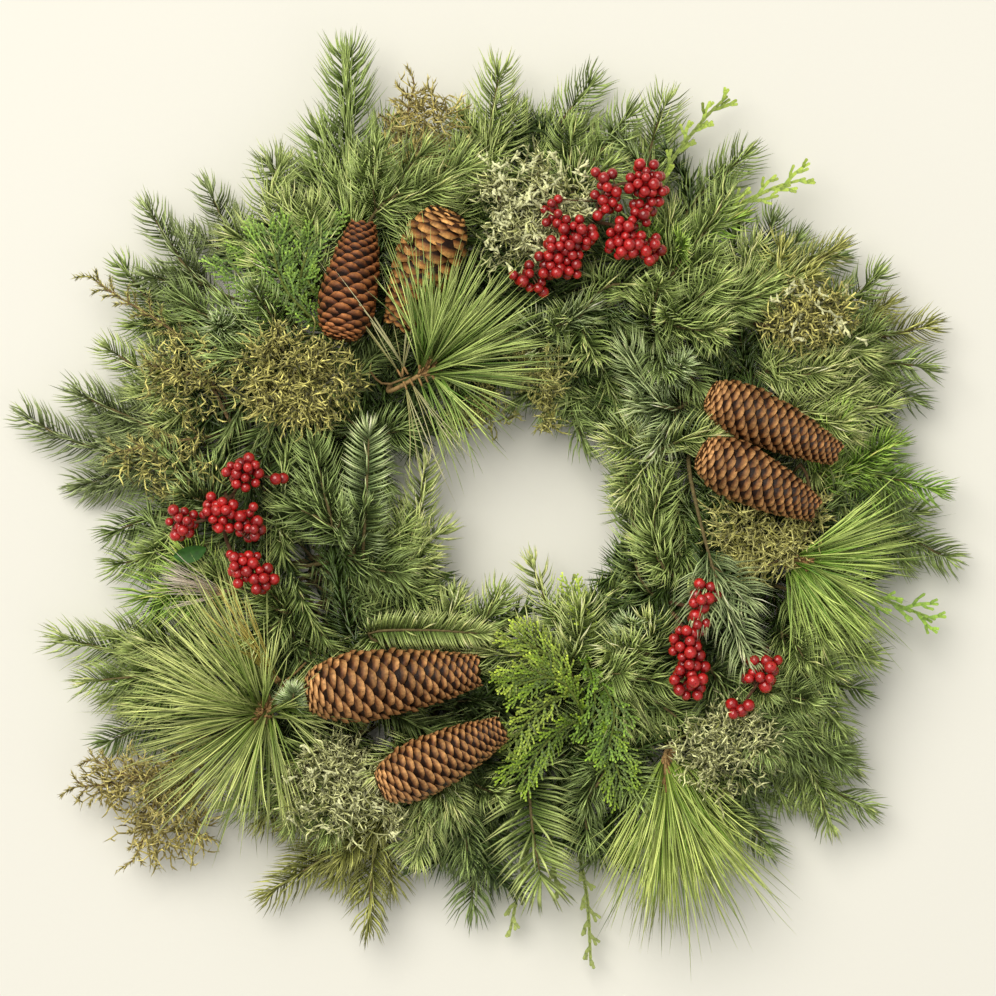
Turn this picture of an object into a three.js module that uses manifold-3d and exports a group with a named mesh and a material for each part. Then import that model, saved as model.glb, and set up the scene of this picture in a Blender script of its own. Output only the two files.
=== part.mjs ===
// Fresh evergreen wreath, lying on its back: a double-wire ring, bound with
// fir, pine, cedar and lichened twigs, and trimmed with spruce cones and berries.
// Millimetres, +Z up and towards the wreath's front. The ring's centre is the
// centre of every layout below.
import * as THREE from "three";
import { mergeVertices } from "three/addons/utils/BufferGeometryUtils.js";
import Module from "manifold-3d";

const wasm = await Module();
wasm.setup();

// ---------------------------------------------------------------- dimensions
const RING_INNER_RADIUS = 140;
const RING_OUTER_RADIUS = 165;
const RING_WIRE = 4;
const RING_STEPS = 24;
const BRACE_COUNT = 6;
const BRACE_FIRST_ANGLE = 9;
const BRACE_WIDTH = 6;
const BRACE_THICKNESS = 3.4;
const BRACE_SINK = 1;
const SEAT_GAP = 0.3;

const SLOT_PITCH = 6;
const SLOT_FIRST = 3;
const STEM_SIDE = 3.6;
const STEM_OVERHANG = 12;

const BINDING_TURNS = 20;
const BINDING_WIRE = 1.2;
const BINDING_CLEAR = 5.4;

const CONE_AROUND = 7;
const CONE_ROWS = 10;
const CONE_WIRE = 1.6;
const CONE_WIRE_FIT = -0.55;
const CONE_LOOP_STEPS = 14;

const BERRY_RADIUS = 4.4;
const BERRY_PITCH = 5.6;
const BERRY_REACH = 4.1;
const GOLDEN_ANGLE = 2.39996;

const CORE_GAP = 0.8;
const NEEDLE_GAP = 0.45;
const OWN_GAP = 0.2;
const FLOOR_CLEARANCE = 1.2;
const BARE_STEP = 45;
const FAN_STEP = 1.7;
const SHORTEST_EDGE = 0.02;

// The space kept free in the middle of the wreath.
const HOLE = { west: -35, east: 55, south: -27, north: 25 };

const RING_BOTTOM = BRACE_THICKNESS - BRACE_SINK;
const RING_TOP = RING_BOTTOM + RING_WIRE;
const STEM_HEIGHT = RING_TOP + SEAT_GAP + STEM_SIDE / 2;
const STEM_INSIDE = RING_INNER_RADIUS - RING_WIRE / 2 - STEM_OVERHANG;
const STEM_OUTSIDE = RING_OUTER_RADIUS + RING_WIRE / 2 + STEM_OVERHANG;

// ------------------------------------------------------------------ finishes
const FINISHES = {
  green_wire: { color: 0x2c3b2a, roughness: 0.5, metalness: 0.6 },
  fir: { color: 0x55803f, roughness: 0.65, metalness: 0 },
  pine: { color: 0x86b04c, roughness: 0.55, metalness: 0 },
  cedar: { color: 0x7cae45, roughness: 0.6, metalness: 0 },
  lichen: { color: 0xaaa86a, roughness: 0.9, metalness: 0 },
  cone: { color: 0x96603a, roughness: 0.75, metalness: 0 },
  berry: { color: 0xb9231e, roughness: 0.25, metalness: 0 },
};

// ------------------------------------------------------------- small helpers
const radians = THREE.MathUtils.degToRad;
const at = (x, y, z) => new THREE.Vector3(x, y, z);
const polar = (radius, degrees, z) => {
  return at(radius * Math.cos(radians(degrees)), radius * Math.sin(radians(degrees)), z);
};

function seededRandom(seed) {
  let state = seed;
  return () => {
    state = (state + 0x6d2b79f5) | 0;
    let mixed = Math.imul(state ^ (state >>> 15), 1 | state);
    mixed = (mixed + Math.imul(mixed ^ (mixed >>> 7), 61 | mixed)) ^ mixed;
    return ((mixed ^ (mixed >>> 14)) >>> 0) / 4294967296;
  };
}

/** A closed solid from any three.js geometry with merged corners. */
function solidOf(geometry) {
  const bare = geometry.clone();
  bare.deleteAttribute("normal");
  bare.deleteAttribute("uv");
  const merged = mergeVertices(bare, 1e-4);
  return new wasm.Manifold(new wasm.Mesh({
    numProp: 3,
    vertProperties: new Float32Array(merged.attributes.position.array),
    triVerts: new Uint32Array(merged.index.array),
  }));
}

function geometryOf(solid) {
  const mesh = solid.getMesh();
  const geometry = new THREE.BufferGeometry();
  geometry.setAttribute("position", new THREE.BufferAttribute(new Float32Array(mesh.vertProperties), 3));
  geometry.setIndex(new THREE.BufferAttribute(new Uint32Array(mesh.triVerts), 1));
  return geometry;
}

/** Joins solids into one body and drops any scrap that doesn't hold on to it. */
function fuse(solids) {
  let whole = solids[0];
  for (const solid of solids.slice(1)) {
    whole = whole.add(solid);
  }
  const bodies = whole.simplify(SHORTEST_EDGE).decompose();
  bodies.sort((a, b) => b.volume() - a.volume());
  return bodies[0];
}

/** A geometry from corner points and triangles of corner numbers. */
function geometryFrom(corners, triangles) {
  const geometry = new THREE.BufferGeometry();
  geometry.setFromPoints(corners);
  geometry.setIndex(triangles.flat());
  return geometry;
}

/** A path of straight legs that keeps every one of its points. */
class Route extends THREE.Curve {
  constructor(points) {
    super();
    this.points = points;
  }

  getPoint(t, target = new THREE.Vector3()) {
    const legs = this.points.length - 1;
    const leg = Math.min(Math.floor(t * legs + 1e-9), legs - 1);
    return target.lerpVectors(this.points[leg], this.points[leg + 1], t * legs - leg);
  }

  getUtoTmapping(u) {
    return u;
  }
}

/** A rod of a few flat sides along a list of points. */
function rod(points, radius, sides) {
  const section = new THREE.Shape();
  for (let i = 0; i < sides; i += 1) {
    const angle = (2 * Math.PI * i) / sides;
    const corner = [radius * Math.cos(angle), radius * Math.sin(angle)];
    if (i === 0) {
      section.moveTo(...corner);
    } else {
      section.lineTo(...corner);
    }
  }
  return new THREE.ExtrudeGeometry(section, {
    steps: points.length - 1,
    extrudePath: new Route(points),
    bevelEnabled: false,
  });
}

// ------------------------------------------------------------ room to grow in
/** Everything placed so far, as tapered capsules, so that nothing new crosses it. */
class Thicket {
  constructor(cell) {
    this.cell = cell;
    this.cells = new Map();
  }

  keys(capsule, margin) {
    const found = [];
    const low = capsule.a.clone().min(capsule.b).subScalar(margin);
    const high = capsule.a.clone().max(capsule.b).addScalar(margin);
    for (let x = Math.floor(low.x / this.cell); x <= Math.floor(high.x / this.cell); x += 1) {
      for (let y = Math.floor(low.y / this.cell); y <= Math.floor(high.y / this.cell); y += 1) {
        for (let z = Math.floor(low.z / this.cell); z <= Math.floor(high.z / this.cell); z += 1) {
          found.push(`${x},${y},${z}`);
        }
      }
    }
    return found;
  }

  add(capsule) {
    for (const key of this.keys(capsule, Math.max(capsule.ra, capsule.rb))) {
      if (!this.cells.has(key)) {
        this.cells.set(key, []);
      }
      this.cells.get(key).push(capsule);
    }
  }

  /** Whether a capsule comes nearer than gap(other) to any other one that counts. */
  blocks(capsule, gapTo) {
    const seen = new Set();
    for (const key of this.keys(capsule, Math.max(capsule.ra, capsule.rb) + 1)) {
      for (const other of this.cells.get(key) ?? []) {
        if (seen.has(other)) {
          continue;
        }
        seen.add(other);
        const gap = gapTo(other);
        if (gap !== null && distanceBetween(capsule, other) < gap) {
          return true;
        }
      }
    }
    return false;
  }
}

/** Gap between two tapered capsules, with each radius taken where they come nearest. */
function distanceBetween(p, q) {
  const d1 = p.b.clone().sub(p.a);
  const d2 = q.b.clone().sub(q.a);
  const r = p.a.clone().sub(q.a);
  const a = Math.max(d1.dot(d1), 1e-9);
  const e = Math.max(d2.dot(d2), 1e-9);
  const f = d2.dot(r);
  const c = d1.dot(r);
  const b = d1.dot(d2);
  const denominator = a * e - b * b;
  const clamp = THREE.MathUtils.clamp;
  let s = denominator > 1e-9 ? clamp((b * f - c * e) / denominator, 0, 1) : 0;
  let t = (b * s + f) / e;
  if (t < 0 || t > 1) {
    t = clamp(t, 0, 1);
    s = clamp((b * t - c) / a, 0, 1);
  }
  const nearP = p.a.clone().addScaledVector(d1, s);
  const nearQ = q.a.clone().addScaledVector(d2, t);
  const radii = p.ra + (p.rb - p.ra) * s + q.ra + (q.rb - q.ra) * t;
  return nearP.distanceTo(nearQ) - radii;
}

const thicket = new Thicket(18);

function addPath(owner, points, radius) {
  for (let i = 0; i + 1 < points.length; i += 1) {
    thicket.add({ owner, a: points[i], b: points[i + 1], ra: radius, rb: radius });
  }
}

/** Whether a straight piece reaches into the wreath's hole or down to the surface it lies on. */
function outOfBounds(a, b, radius) {
  for (let i = 0; i <= 6; i += 1) {
    const p = a.clone().lerp(b, i / 6);
    const inside = p.x > HOLE.west - radius && p.x < HOLE.east + radius
      && p.y > HOLE.south - radius && p.y < HOLE.north + radius;
    if (inside || p.z < FLOOR_CLEARANCE + radius) {
      return true;
    }
  }
  return false;
}

// ---------------------------------------------------------------- wire frame
function ringWire(radius) {
  const profile = [];
  for (let i = 0; i <= 6; i += 1) {
    const angle = radians(60 * i);
    const side = RING_WIRE / 2 / Math.cos(radians(30));
    profile.push(new THREE.Vector2(
      radius + side * Math.cos(angle),
      RING_BOTTOM + RING_WIRE / 2 + side * Math.sin(angle),
    ));
  }
  profile[6].copy(profile[0]);
  return solidOf(new THREE.LatheGeometry(profile, RING_STEPS).rotateX(Math.PI / 2));
}

function wireFrame() {
  const solids = [ringWire(RING_INNER_RADIUS), ringWire(RING_OUTER_RADIUS)];
  const length = RING_OUTER_RADIUS - RING_INNER_RADIUS + RING_WIRE;
  for (let i = 0; i < BRACE_COUNT; i += 1) {
    const angle = BRACE_FIRST_ANGLE + (360 / BRACE_COUNT) * i;
    const brace = new THREE.BoxGeometry(length, BRACE_WIDTH, BRACE_THICKNESS);
    brace.translate((RING_INNER_RADIUS + RING_OUTER_RADIUS) / 2, 0, BRACE_THICKNESS / 2);
    brace.rotateZ(radians(angle));
    solids.push(solidOf(brace));
  }
  return geometryOf(fuse(solids));
}

/** One wire wound round the ring and over every stem that lies across it. */
function bindingWire() {
  const outside = RING_OUTER_RADIUS + RING_WIRE / 2 + BINDING_CLEAR / 2;
  const inside = RING_INNER_RADIUS - RING_WIRE / 2 - BINDING_CLEAR / 2;
  const under = RING_BOTTOM - SEAT_GAP - BINDING_WIRE / 2;
  const over = RING_TOP + SEAT_GAP + STEM_SIDE + SEAT_GAP + BINDING_WIRE / 2;
  const turn = 360 / BINDING_TURNS;
  const points = [];
  for (let i = 0; i < BINDING_TURNS; i += 1) {
    const start = turn * i;
    points.push(polar(outside, start, under));
    points.push(polar(outside, start, over));
    points.push(polar((outside + inside) / 2, start + turn / 2, over));
    points.push(polar(inside, start + turn, over));
    points.push(polar(inside, start + turn, under));
  }
  addPath("binding_wire", points, BINDING_WIRE / 2);
  return rod(points, BINDING_WIRE / 2, 3);
}

// --------------------------------------------------------------------- cones
// base and tip: the two ends of the axis; radius: over the widest scales;
// held: how far along it the wire goes round.
const CONES = [
  { base: [-113, 108, 66], tip: [-97, 186, 62], radius: 19, held: 0.39 },
  { base: [-43, 188, 72], tip: [-78, 112, 58], radius: 21, held: 0.39 },
  { base: [126, 71, 66], tip: [212, 31, 60], radius: 18, held: 0.19 },
  { base: [120, 34, 76], tip: [197, -5, 70], radius: 19, held: 0.19 },
  { base: [-133, -121, 70], tip: [-18, -106, 72], radius: 23, held: 0.29 },
  { base: [-86, -182, 70], tip: [-4, -142, 74], radius: 19, held: 0.19 },
];
const CONE_WIRES = [
  { cones: [0, 1], slot: 117, side: 1 },
  { cones: [2, 3], slot: 15, side: -1 },
  { cones: [4, 5], slot: 237, side: 1 },
];

/** Radius over the scales at a fraction of the cone's length, base to tip. */
function coneRadius(cone, t) {
  const rounded = Math.sqrt(Math.max(0, 1 - ((0.3 - Math.min(t, 0.3)) / 0.36) ** 2));
  const taper = 1 - 0.62 * (Math.max(t - 0.3, 0) / 0.7) ** 1.7;
  return cone.radius * rounded * taper;
}

function coneFrame(cone) {
  const base = at(...cone.base);
  const axis = at(...cone.tip).sub(base);
  const length = axis.length();
  axis.normalize();
  const across = new THREE.Vector3().crossVectors(at(0, 0, 1), axis).normalize();
  const above = new THREE.Vector3().crossVectors(axis, across);
  const spot = (t, angle, radius) => {
    return base.clone()
      .addScaledVector(axis, length * t)
      .addScaledVector(across, radius * Math.cos(angle))
      .addScaledVector(above, radius * Math.sin(angle));
  };
  return { base, axis, across, above, length, spot };
}

/** A cone body whose whole surface is staggered, overlapping scales in relief. */
function coneGeometry(cone) {
  const frame = coneFrame(cone);
  const corners = [];
  const triangles = [];
  const step = (2 * Math.PI) / CONE_AROUND;
  const row = (i) => i * CONE_AROUND;
  for (let i = 0; i <= CONE_ROWS; i += 1) {
    const t = i / CONE_ROWS;
    for (let j = 0; j < CONE_AROUND; j += 1) {
      corners.push(frame.spot(t, (j + (i % 2) / 2) * step, 0.86 * coneRadius(cone, t)));
    }
  }
  const column = (i, j) => row(i) + ((j + CONE_AROUND) % CONE_AROUND);
  const left = (i, j) => (i % 2 === 0 ? column(i + 1, j - 1) : column(i + 1, j));
  const right = (i, j) => (i % 2 === 0 ? column(i + 1, j) : column(i + 1, j + 1));
  for (let i = 0; i + 2 <= CONE_ROWS; i += 1) {
    for (let j = 0; j < CONE_AROUND; j += 1) {
      const t = (i + 1.4) / CONE_ROWS;
      const lip = corners.length;
      corners.push(frame.spot(t, (j + (i % 2) / 2) * step, 1.04 * coneRadius(cone, t) + 0.6));
      const ring = [column(i, j), right(i, j), column(i + 2, j), left(i, j)];
      for (let k = 0; k < 4; k += 1) {
        triangles.push([ring[k], ring[(k + 1) % 4], lip]);
      }
    }
  }
  const basePole = corners.push(frame.spot(-0.015, 0, 0)) - 1;
  const tipPole = corners.push(frame.spot(1.03, 0, 0)) - 1;
  const last = CONE_ROWS;
  for (let j = 0; j < CONE_AROUND; j += 1) {
    triangles.push([column(0, j), column(0, j + 1), column(1, j)]);
    triangles.push([column(0, j + 1), column(0, j), basePole]);
    const below = last % 2 === 0 ? column(last - 1, j) : column(last - 1, j + 1);
    triangles.push([column(last, j), below, column(last, j + 1)]);
    triangles.push([column(last, j), column(last, j + 1), tipPole]);
  }
  return geometryFrom(corners, triangles);
}

function growCone(cone, owner) {
  const frame = coneFrame(cone);
  const pieces = 7;
  for (let i = 0; i < pieces; i += 1) {
    const t0 = i / pieces;
    const t1 = (i + 1) / pieces;
    thicket.add({
      owner,
      a: frame.spot(t0, 0, 0),
      b: frame.spot(t1, 0, 0),
      ra: 1.04 * coneRadius(cone, t0) + 1,
      rb: 1.04 * coneRadius(cone, t1) + 1,
    });
  }
}

/** A pair's wire: a loop round each cone, and a tail bound on to the ring. */
function coneWire(pair, owner) {
  const radius = CONE_WIRE / 2;
  const height = RING_TOP + SEAT_GAP + radius;
  const exit = pair.side > 0 ? STEM_OUTSIDE : STEM_INSIDE;
  const end = pair.side > 0 ? RING_INNER_RADIUS - 4 : RING_OUTER_RADIUS + 4;
  const solids = [];
  const tail = [polar(end, pair.slot, height), polar(exit, pair.slot, height)];
  const knee = polar(exit + 3 * pair.side, pair.slot, height + 8);
  for (const index of pair.cones) {
    const cone = CONES[index];
    const frame = coneFrame(cone);
    const wireRadius = 1.04 * coneRadius(cone, cone.held) + CONE_WIRE_FIT + radius;
    const loop = [];
    for (let i = 0; i < CONE_LOOP_STEPS; i += 1) {
      loop.push(frame.spot(cone.held, (2 * Math.PI * i) / CONE_LOOP_STEPS, wireRadius));
    }
    const section = [];
    for (let i = 0; i <= 3; i += 1) {
      const angle = radians(120 * i);
      section.push(new THREE.Vector2(wireRadius + radius * Math.cos(angle), radius * Math.sin(angle)));
    }
    section[3].copy(section[0]);
    const ring = new THREE.LatheGeometry(section, CONE_LOOP_STEPS);
    ring.applyMatrix4(new THREE.Matrix4().makeBasis(frame.above, frame.axis, frame.across));
    const centre = frame.spot(cone.held, 0, 0);
    ring.translate(centre.x, centre.y, centre.z);
    solids.push(solidOf(ring));
    addPath(owner, [...loop, loop[0]], radius);
    const low = frame.spot(cone.held, -Math.PI / 2, wireRadius);
    const leg = [...tail, knee, low];
    solids.push(solidOf(rod(index === pair.cones[0] ? leg : leg.slice(1), radius, 3)));
    addPath(owner, leg, radius);
  }
  return geometryOf(fuse(solids));
}

// --------------------------------------------------------------------- twigs
// core, tip: the twig's radius at its root and near its end; needle: length;
// pitch: from one whorl of needles to the next; lean: forward tilt in degrees;
// flat: how far the needles are pressed into the plane of the twig, 0 to 1.
const KINDS = {
  fir: { core: 1.7, tip: 1.0, needle: 20, pitch: 29, whorl: 2.6, lean: 42, flat: 0.3 },
  pine: { core: 2.0, tip: 1.5, needle: 86, pitch: 4.6, whorl: 2.3, lean: 20, flat: 0.35 },
  cedar: { core: 1.5, tip: 1.0, needle: 15, pitch: 18, whorl: 3.2, lean: 50, flat: 0.65 },
  lichen: { core: 1.5, tip: 1.0, needle: 11, pitch: 28, whorl: 2.8, lean: 25, flat: 0.1 },
};
const SPREAD = 38;
const TURNS = [0, 16, -16, 32, -32];
const SHRINKS = [1, 0.82, 0.64, 0.46];

/** One shoot of a spray: how long its needles are, its heights, and its way seen from the front. */
function shoot(needle, rootHeight, tipHeight, ...way) {
  const path = [];
  for (let i = 0; i < way.length; i += 2) {
    path.push([way[i], way[i + 1]]);
  }
  return { needle, rootHeight, tipHeight, path };
}

/** Sprays, each bound on to the ring at its slot, growing outwards (side 1) or inwards (-1). */
const SPRAYS = [
  // Fir round the outer edge, anticlockwise from the right.
  ["fir", 21, 1,
    shoot(17, 24, 28, 195, 46, 246, 48),
    shoot(17, 15, 20, 195, 78, 240, 78, 266, 67),
    shoot(18, 26, 30, 200, 94, 273, 90)],
  ["fir", 33, 1,
    shoot(17, 17, 22, 205, 104, 250, 112, 276, 119),
    shoot(17, 24, 30, 205, 122, 240, 153),
    shoot(17, 50, 54, 178, 145, 213, 169)],
  ["fir", 45, 1,
    shoot(17, 16, 20, 175, 152, 217, 165),
    shoot(17, 22, 28, 160, 162, 170, 190),
    shoot(22, 46, 54, 118, 120, 172, 150)],
  ["fir", 57, 1,
    shoot(20, 16, 20, 112, 190, 155, 233),
    shoot(20, 22, 26, 88, 215, 90, 238, 101, 269),
    shoot(18, 38, 44, 98, 165, 150, 189)],
  ["fir", 81, 1,
    shoot(20, 28, 32, 38, 205, 78, 260),
    shoot(20, 16, 20, 8, 200, 30, 250, 54, 281),
    shoot(20, 30, 38, -15, 205, -10, 288)],
  ["fir", 123, 1,
    shoot(21, 27, 40, -106, 170, -108, 235, -110, 298),
    shoot(20, 14, 20, -133, 195, -165, 228),
    shoot(18, 52, 62, -85, 196, -60, 206, -22, 222)],
  ["fir", 141, 1,
    shoot(14, 14, 18, -180, 165, -203, 212),
    shoot(17, 24, 28, -208, 148, -228, 175, -241, 197)],
  ["fir", 153, 1,
    shoot(17, 15, 20, -205, 112, -236, 130, -259, 160),
    shoot(17, 26, 30, -205, 72, -230, 80, -269, 104),
    shoot(17, 34, 62, -185, 108, -195, 120)],
  ["fir", 171, 1,
    shoot(20, 20, 26, -205, 40, -235, 50, -291, 75),
    shoot(18, 14, 18, -225, 26, -270, 36, -298, 45, -324, 61)],
  ["fir", 183, 1,
    shoot(18, 14, 18, -215, -4, -238, -8, -268, -20),
    shoot(18, 26, 28, -205, -28, -225, -32, -265, -40),
    shoot(18, 34, 38, -200, 4, -231, 36)],
  ["fir", 201, 1,
    shoot(20, 14, 20, -205, -92, -240, -99, -303, -86),
    shoot(26, 32, 38, -203, -53, -248, -62)],
  ["fir", 213, 1,
    shoot(18, 26, 30, -205, -106, -238, -111, -284, -116),
    shoot(18, 14, 18, -205, -128, -238, -142, -271, -158),
    shoot(14, 40, 66, -145, -136, -142, -124)],
  ["fir", 249, 1,
    shoot(18, 16, 20, -150, -190, -169, -210),
    shoot(18, 18, 22, -94, -195, -108, -217, -164, -257)],
  ["fir", 255, 1,
    shoot(18, 24, 28, -80, -190, -91, -222, -96, -279),
    shoot(18, 32, 36, -30, -175, -45, -190, -75, -226)],
  ["fir", 267, 1,
    shoot(22, 15, 20, -16, -190, -20, -205, -30, -268),
    shoot(24, 34, 38, 6, -175, 12, -215, 19, -250)],
  ["fir", 303, 1,
    shoot(18, 15, 20, 118, -165, 140, -190, 168, -227),
    shoot(18, 30, 34, 110, -172, 150, -214)],
  ["fir", 321, 1,
    shoot(18, 20, 24, 160, -150, 180, -163, 205, -185, 234, -200),
    shoot(16, 26, 28, 190, -165, 207, -213),
    shoot(20, 38, 42, 160, -128, 218, -172)],
  ["fir", 339, 1,
    shoot(16, 24, 26, 185, -108, 230, -122),
    shoot(16, 16, 20, 190, -84, 233, -96),
    shoot(20, 44, 48, 175, -90, 215, -150)],
  ["fir", 357, 1,
    shoot(18, 17, 22, 215, -10, 248, -18, 270, -28, 288, -37),
    shoot(17, 30, 34, 200, 18, 225, 22, 255, 15, 279, 8)],
  // Fir round the inner edge.
  ["fir", 69, -1,
    shoot(18, 24, 32, 34, 76, 48, 34),
    shoot(18, 42, 48, 20, 108, 52, 131),
    shoot(16, 40, 72, 92, 80, 112, 94)],
  ["fir", 195, -1,
    shoot(20, 46, 60, -118, -14, -132, 44)],
  ["fir", 207, -1,
    shoot(20, 28, 42, -72, -40, -58, 30),
    shoot(18, 24, 30, -66, -58, -62, -18),
    shoot(24, 44, 56, -98, -62, -94, 54)],
  ["fir", 261, -1,
    shoot(20, 46, 46, -78, -90, -12, -84),
    shoot(18, 28, 32, -38, -84, -2, -62)],
  ["fir", 297, -1,
    shoot(16, 26, 34, 30, -84, 10, -34),
    shoot(18, 26, 32, 44, -76, 72, -50),
    shoot(17, 32, 58, 72, -88, 76, -74)],
  ["fir", 9, -1,
    shoot(20, 28, 32, 104, -8, 64, 2),
    shoot(18, 40, 44, 100, -28, 64, -14),
    shoot(22, 52, 54, 128, -42, 152, -104)],
  // White pine tufts.
  ["pine", 219, 1,
    shoot(88, 46, 56, -150, -118, -166, -140)],
  ["pine", 135, -1,
    shoot(78, 56, 66, -80, 74, -50, 91)],
  ["pine", 309, 1,
    shoot(86, 46, 54, 98, -160, 99, -186)],
  ["pine", 351, 1,
    shoot(74, 48, 56, 172, -34, 188, -36)],
  // Cedar and cypress.
  ["cedar", 285, 1,
    shoot(16, 60, 66, 42, -130, 26, -112, -4, -118),
    shoot(16, 58, 62, 40, -140, 24, -150, 2, -178),
    shoot(20, 50, 56, 56, -140, 70, -184)],
  ["cedar", 279, 1,
    shoot(9, 16, 14, 12, -215, -4, -284),
    shoot(9, 26, 24, 24, -210, 28, -258),
    shoot(9, 18, 16, 38, -212, 47, -255, 50, -303)],
  ["cedar", 51, 1,
    shoot(14, 34, 36, 128, 182, 165, 205, 190, 213),
    shoot(13, 34, 34, 96, 208, 122, 250, 139, 267)],
  ["cedar", 345, 1,
    shoot(14, 32, 32, 205, -50, 275, -75)],
  ["cedar", 129, 1,
    shoot(15, 44, 50, -128, 134, -146, 176),
    shoot(15, 38, 44, -140, 138, -172, 168)],
  // Lichened twigs, juniper and moss.
  ["lichen", 87, 1,
    shoot(12, 46, 56, 8, 172, 16, 222),
    shoot(12, 52, 54, 14, 168, 44, 198),
    shoot(12, 50, 58, 0, 176, -16, 212)],
  ["lichen", 105, 1,
    shoot(10, 36, 44, -56, 205, -70, 250, -65, 274),
    shoot(8, 34, 40, -66, 215, -83, 251)],
  ["lichen", 159, 1,
    shoot(13, 46, 66, -160, 78, -126, 92),
    shoot(12, 50, 60, -165, 68, -122, 58),
    shoot(12, 46, 62, -168, 84, -152, 112)],
  ["lichen", 165, 1,
    shoot(10, 36, 40, -196, 78, -240, 92),
    shoot(9, 30, 34, -215, 106, -262, 138, -277, 149),
    shoot(10, 32, 34, -205, 44, -262, 34)],
  ["lichen", 243, 1,
    shoot(12, 46, 54, -114, -160, -108, -204),
    shoot(12, 44, 50, -104, -166, -78, -210),
    shoot(12, 40, 46, -122, -158, -150, -190)],
  ["lichen", 225, 1,
    shoot(9, 22, 24, -200, -160, -245, -180, -291, -185),
    shoot(9, 34, 34, -190, -150, -240, -178, -278, -166),
    shoot(9, 24, 24, -178, -170, -225, -190, -250, -233)],
  ["lichen", 315, 1,
    shoot(12, 56, 58, 134, -140, 122, -172),
    shoot(12, 54, 60, 142, -136, 166, -156)],
  ["lichen", 3, 1,
    shoot(10, 34, 46, 192, 0, 176, -18, 140, -30),
    shoot(10, 40, 50, 196, -6, 176, -32, 148, -46)],
  ["lichen", 39, 1,
    shoot(12, 58, 66, 176, 118, 198, 136),
    shoot(12, 54, 60, 170, 116, 204, 116)],
  ["lichen", 99, -1,
    shoot(11, 32, 44, 4, 102, 22, 82),
    shoot(9, 28, 34, 10, 100, 22, 50),
    shoot(9, 26, 30, -14, 96, -24, 58)],
];

// Berry sprays: slot, side, then each branch's way with its heights; the
// berries stand on its last part, from the given fraction on.
const BERRIES = [
  { slot: 75, side: 1, branches: [
    { bearing: 38, way: [[52, 188, 60], [58, 203, 76], [84, 209, 78]] },
    { bearing: 44, way: [[48, 180, 64], [40, 172, 78], [28, 158, 78], [8, 148, 74]] },
    { bearing: 34, way: [[58, 182, 62], [72, 176, 76], [86, 160, 78]] },
  ] },
  { slot: 177, side: 1, branches: [
    { bearing: 20, way: [[-184, 4, 58], [-176, 18, 72], [-174, 26, 76]] },
    { bearing: 38, way: [[-190, -2, 56], [-200, -10, 70], [-222, -12, 68]] },
    { bearing: 24, way: [[-184, -6, 54], [-180, -14, 70], [-172, -22, 76]] },
    { bearing: 26, way: [[-188, -20, 50], [-178, -38, 68], [-164, -50, 74]] },
  ] },
  { slot: 327, side: -1, branches: [
    { bearing: 20, way: [[112, -66, 58], [118, -70, 70], [124, -58, 76]] },
    { bearing: 38, way: [[108, -78, 60], [112, -92, 74], [112, -114, 72]] },
  ] },
  { slot: 333, side: 1, branches: [
    { bearing: 34, way: [[162, -96, 56], [160, -108, 70], [146, -130, 70]] },
  ] },
];

// ------------------------------------------------------------- laying shoots
const LIFTS = Array.from({ length: 19 }, (_, i) => 2.5 * i);
const SIDESTEPS = [0, 6, -6, 12, -12, 18, -18];
const EXIT_RISES = [2, 10, 20, 34];

/** The stub of every spray lies across both ring wires, under the binding wire. */
function stub(spray) {
  const length = STEM_OUTSIDE - STEM_INSIDE - STEM_OVERHANG;
  const middle = (STEM_OUTSIDE + STEM_INSIDE + spray.side * STEM_OVERHANG) / 2;
  const box = new THREE.BoxGeometry(length, STEM_SIDE, STEM_SIDE);
  box.translate(middle, 0, STEM_HEIGHT);
  box.rotateZ(radians(spray.slot));
  const ends = [middle - length / 2, middle + length / 2].map((r) => polar(r, spray.slot, STEM_HEIGHT));
  addPath(spray.name, ends, STEM_SIDE * 0.7);
  return solidOf(box);
}

/** The points of a shoot from inside its stub to its tip, for one choice of detour. */
function wayOf(spray, index, heights, path, lift, sidestep, rise) {
  const exit = spray.side > 0 ? STEM_OUTSIDE : STEM_INSIDE;
  const start = polar(exit - spray.side * (2 + 1.5 * index), spray.slot, STEM_HEIGHT);
  const beyond = polar(exit + spray.side * 9, spray.slot, STEM_HEIGHT + rise);
  const fan = polar(FAN_STEP * (index - 1), spray.slot + 90, 0);
  const across = polar(sidestep, spray.slot + 90, 0).add(fan);
  const points = [start, beyond.add(across)];
  path.forEach(([x, y], i) => points.push(at(x, y, heights[i] + lift)));
  return points;
}

function lengthTo(curve, pointIndex) {
  const steps = 20;
  const lengths = curve.getLengths(steps * (curve.points.length - 1));
  return lengths[steps * pointIndex];
}

/** Stations along a curve: a bare stem, then whorls of needles with bare twig between. */
function stationsOf(curve, bareLength, kind) {
  const total = curve.getLength();
  const marks = [];
  const bareSteps = Math.max(1, Math.round(bareLength / BARE_STEP));
  for (let i = 0; i < bareSteps; i += 1) {
    marks.push({ along: (bareLength * i) / bareSteps, whorl: false });
  }
  const span = total - bareLength - kind.whorl - 3;
  const whorls = Math.max(2, Math.round(span / kind.pitch) + 1);
  for (let i = 0; i < whorls; i += 1) {
    const along = bareLength + (span * i) / (whorls - 1);
    marks.push({ along, whorl: true });
    marks.push({ along: along + kind.whorl, whorl: false });
  }
  marks.push({ along: total, whorl: false });
  let up = at(0, 0, 1);
  return marks.map((mark) => {
    const u = Math.min(mark.along / total, 1);
    const forward = curve.getTangentAt(u);
    up = up.clone().addScaledVector(forward, -up.dot(forward)).normalize();
    const right = new THREE.Vector3().crossVectors(up, forward);
    const radius = kind.core + (kind.tip - kind.core) * u;
    return { ...mark, u, point: curve.getPointAt(u), forward, up, right, radius };
  });
}

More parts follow.
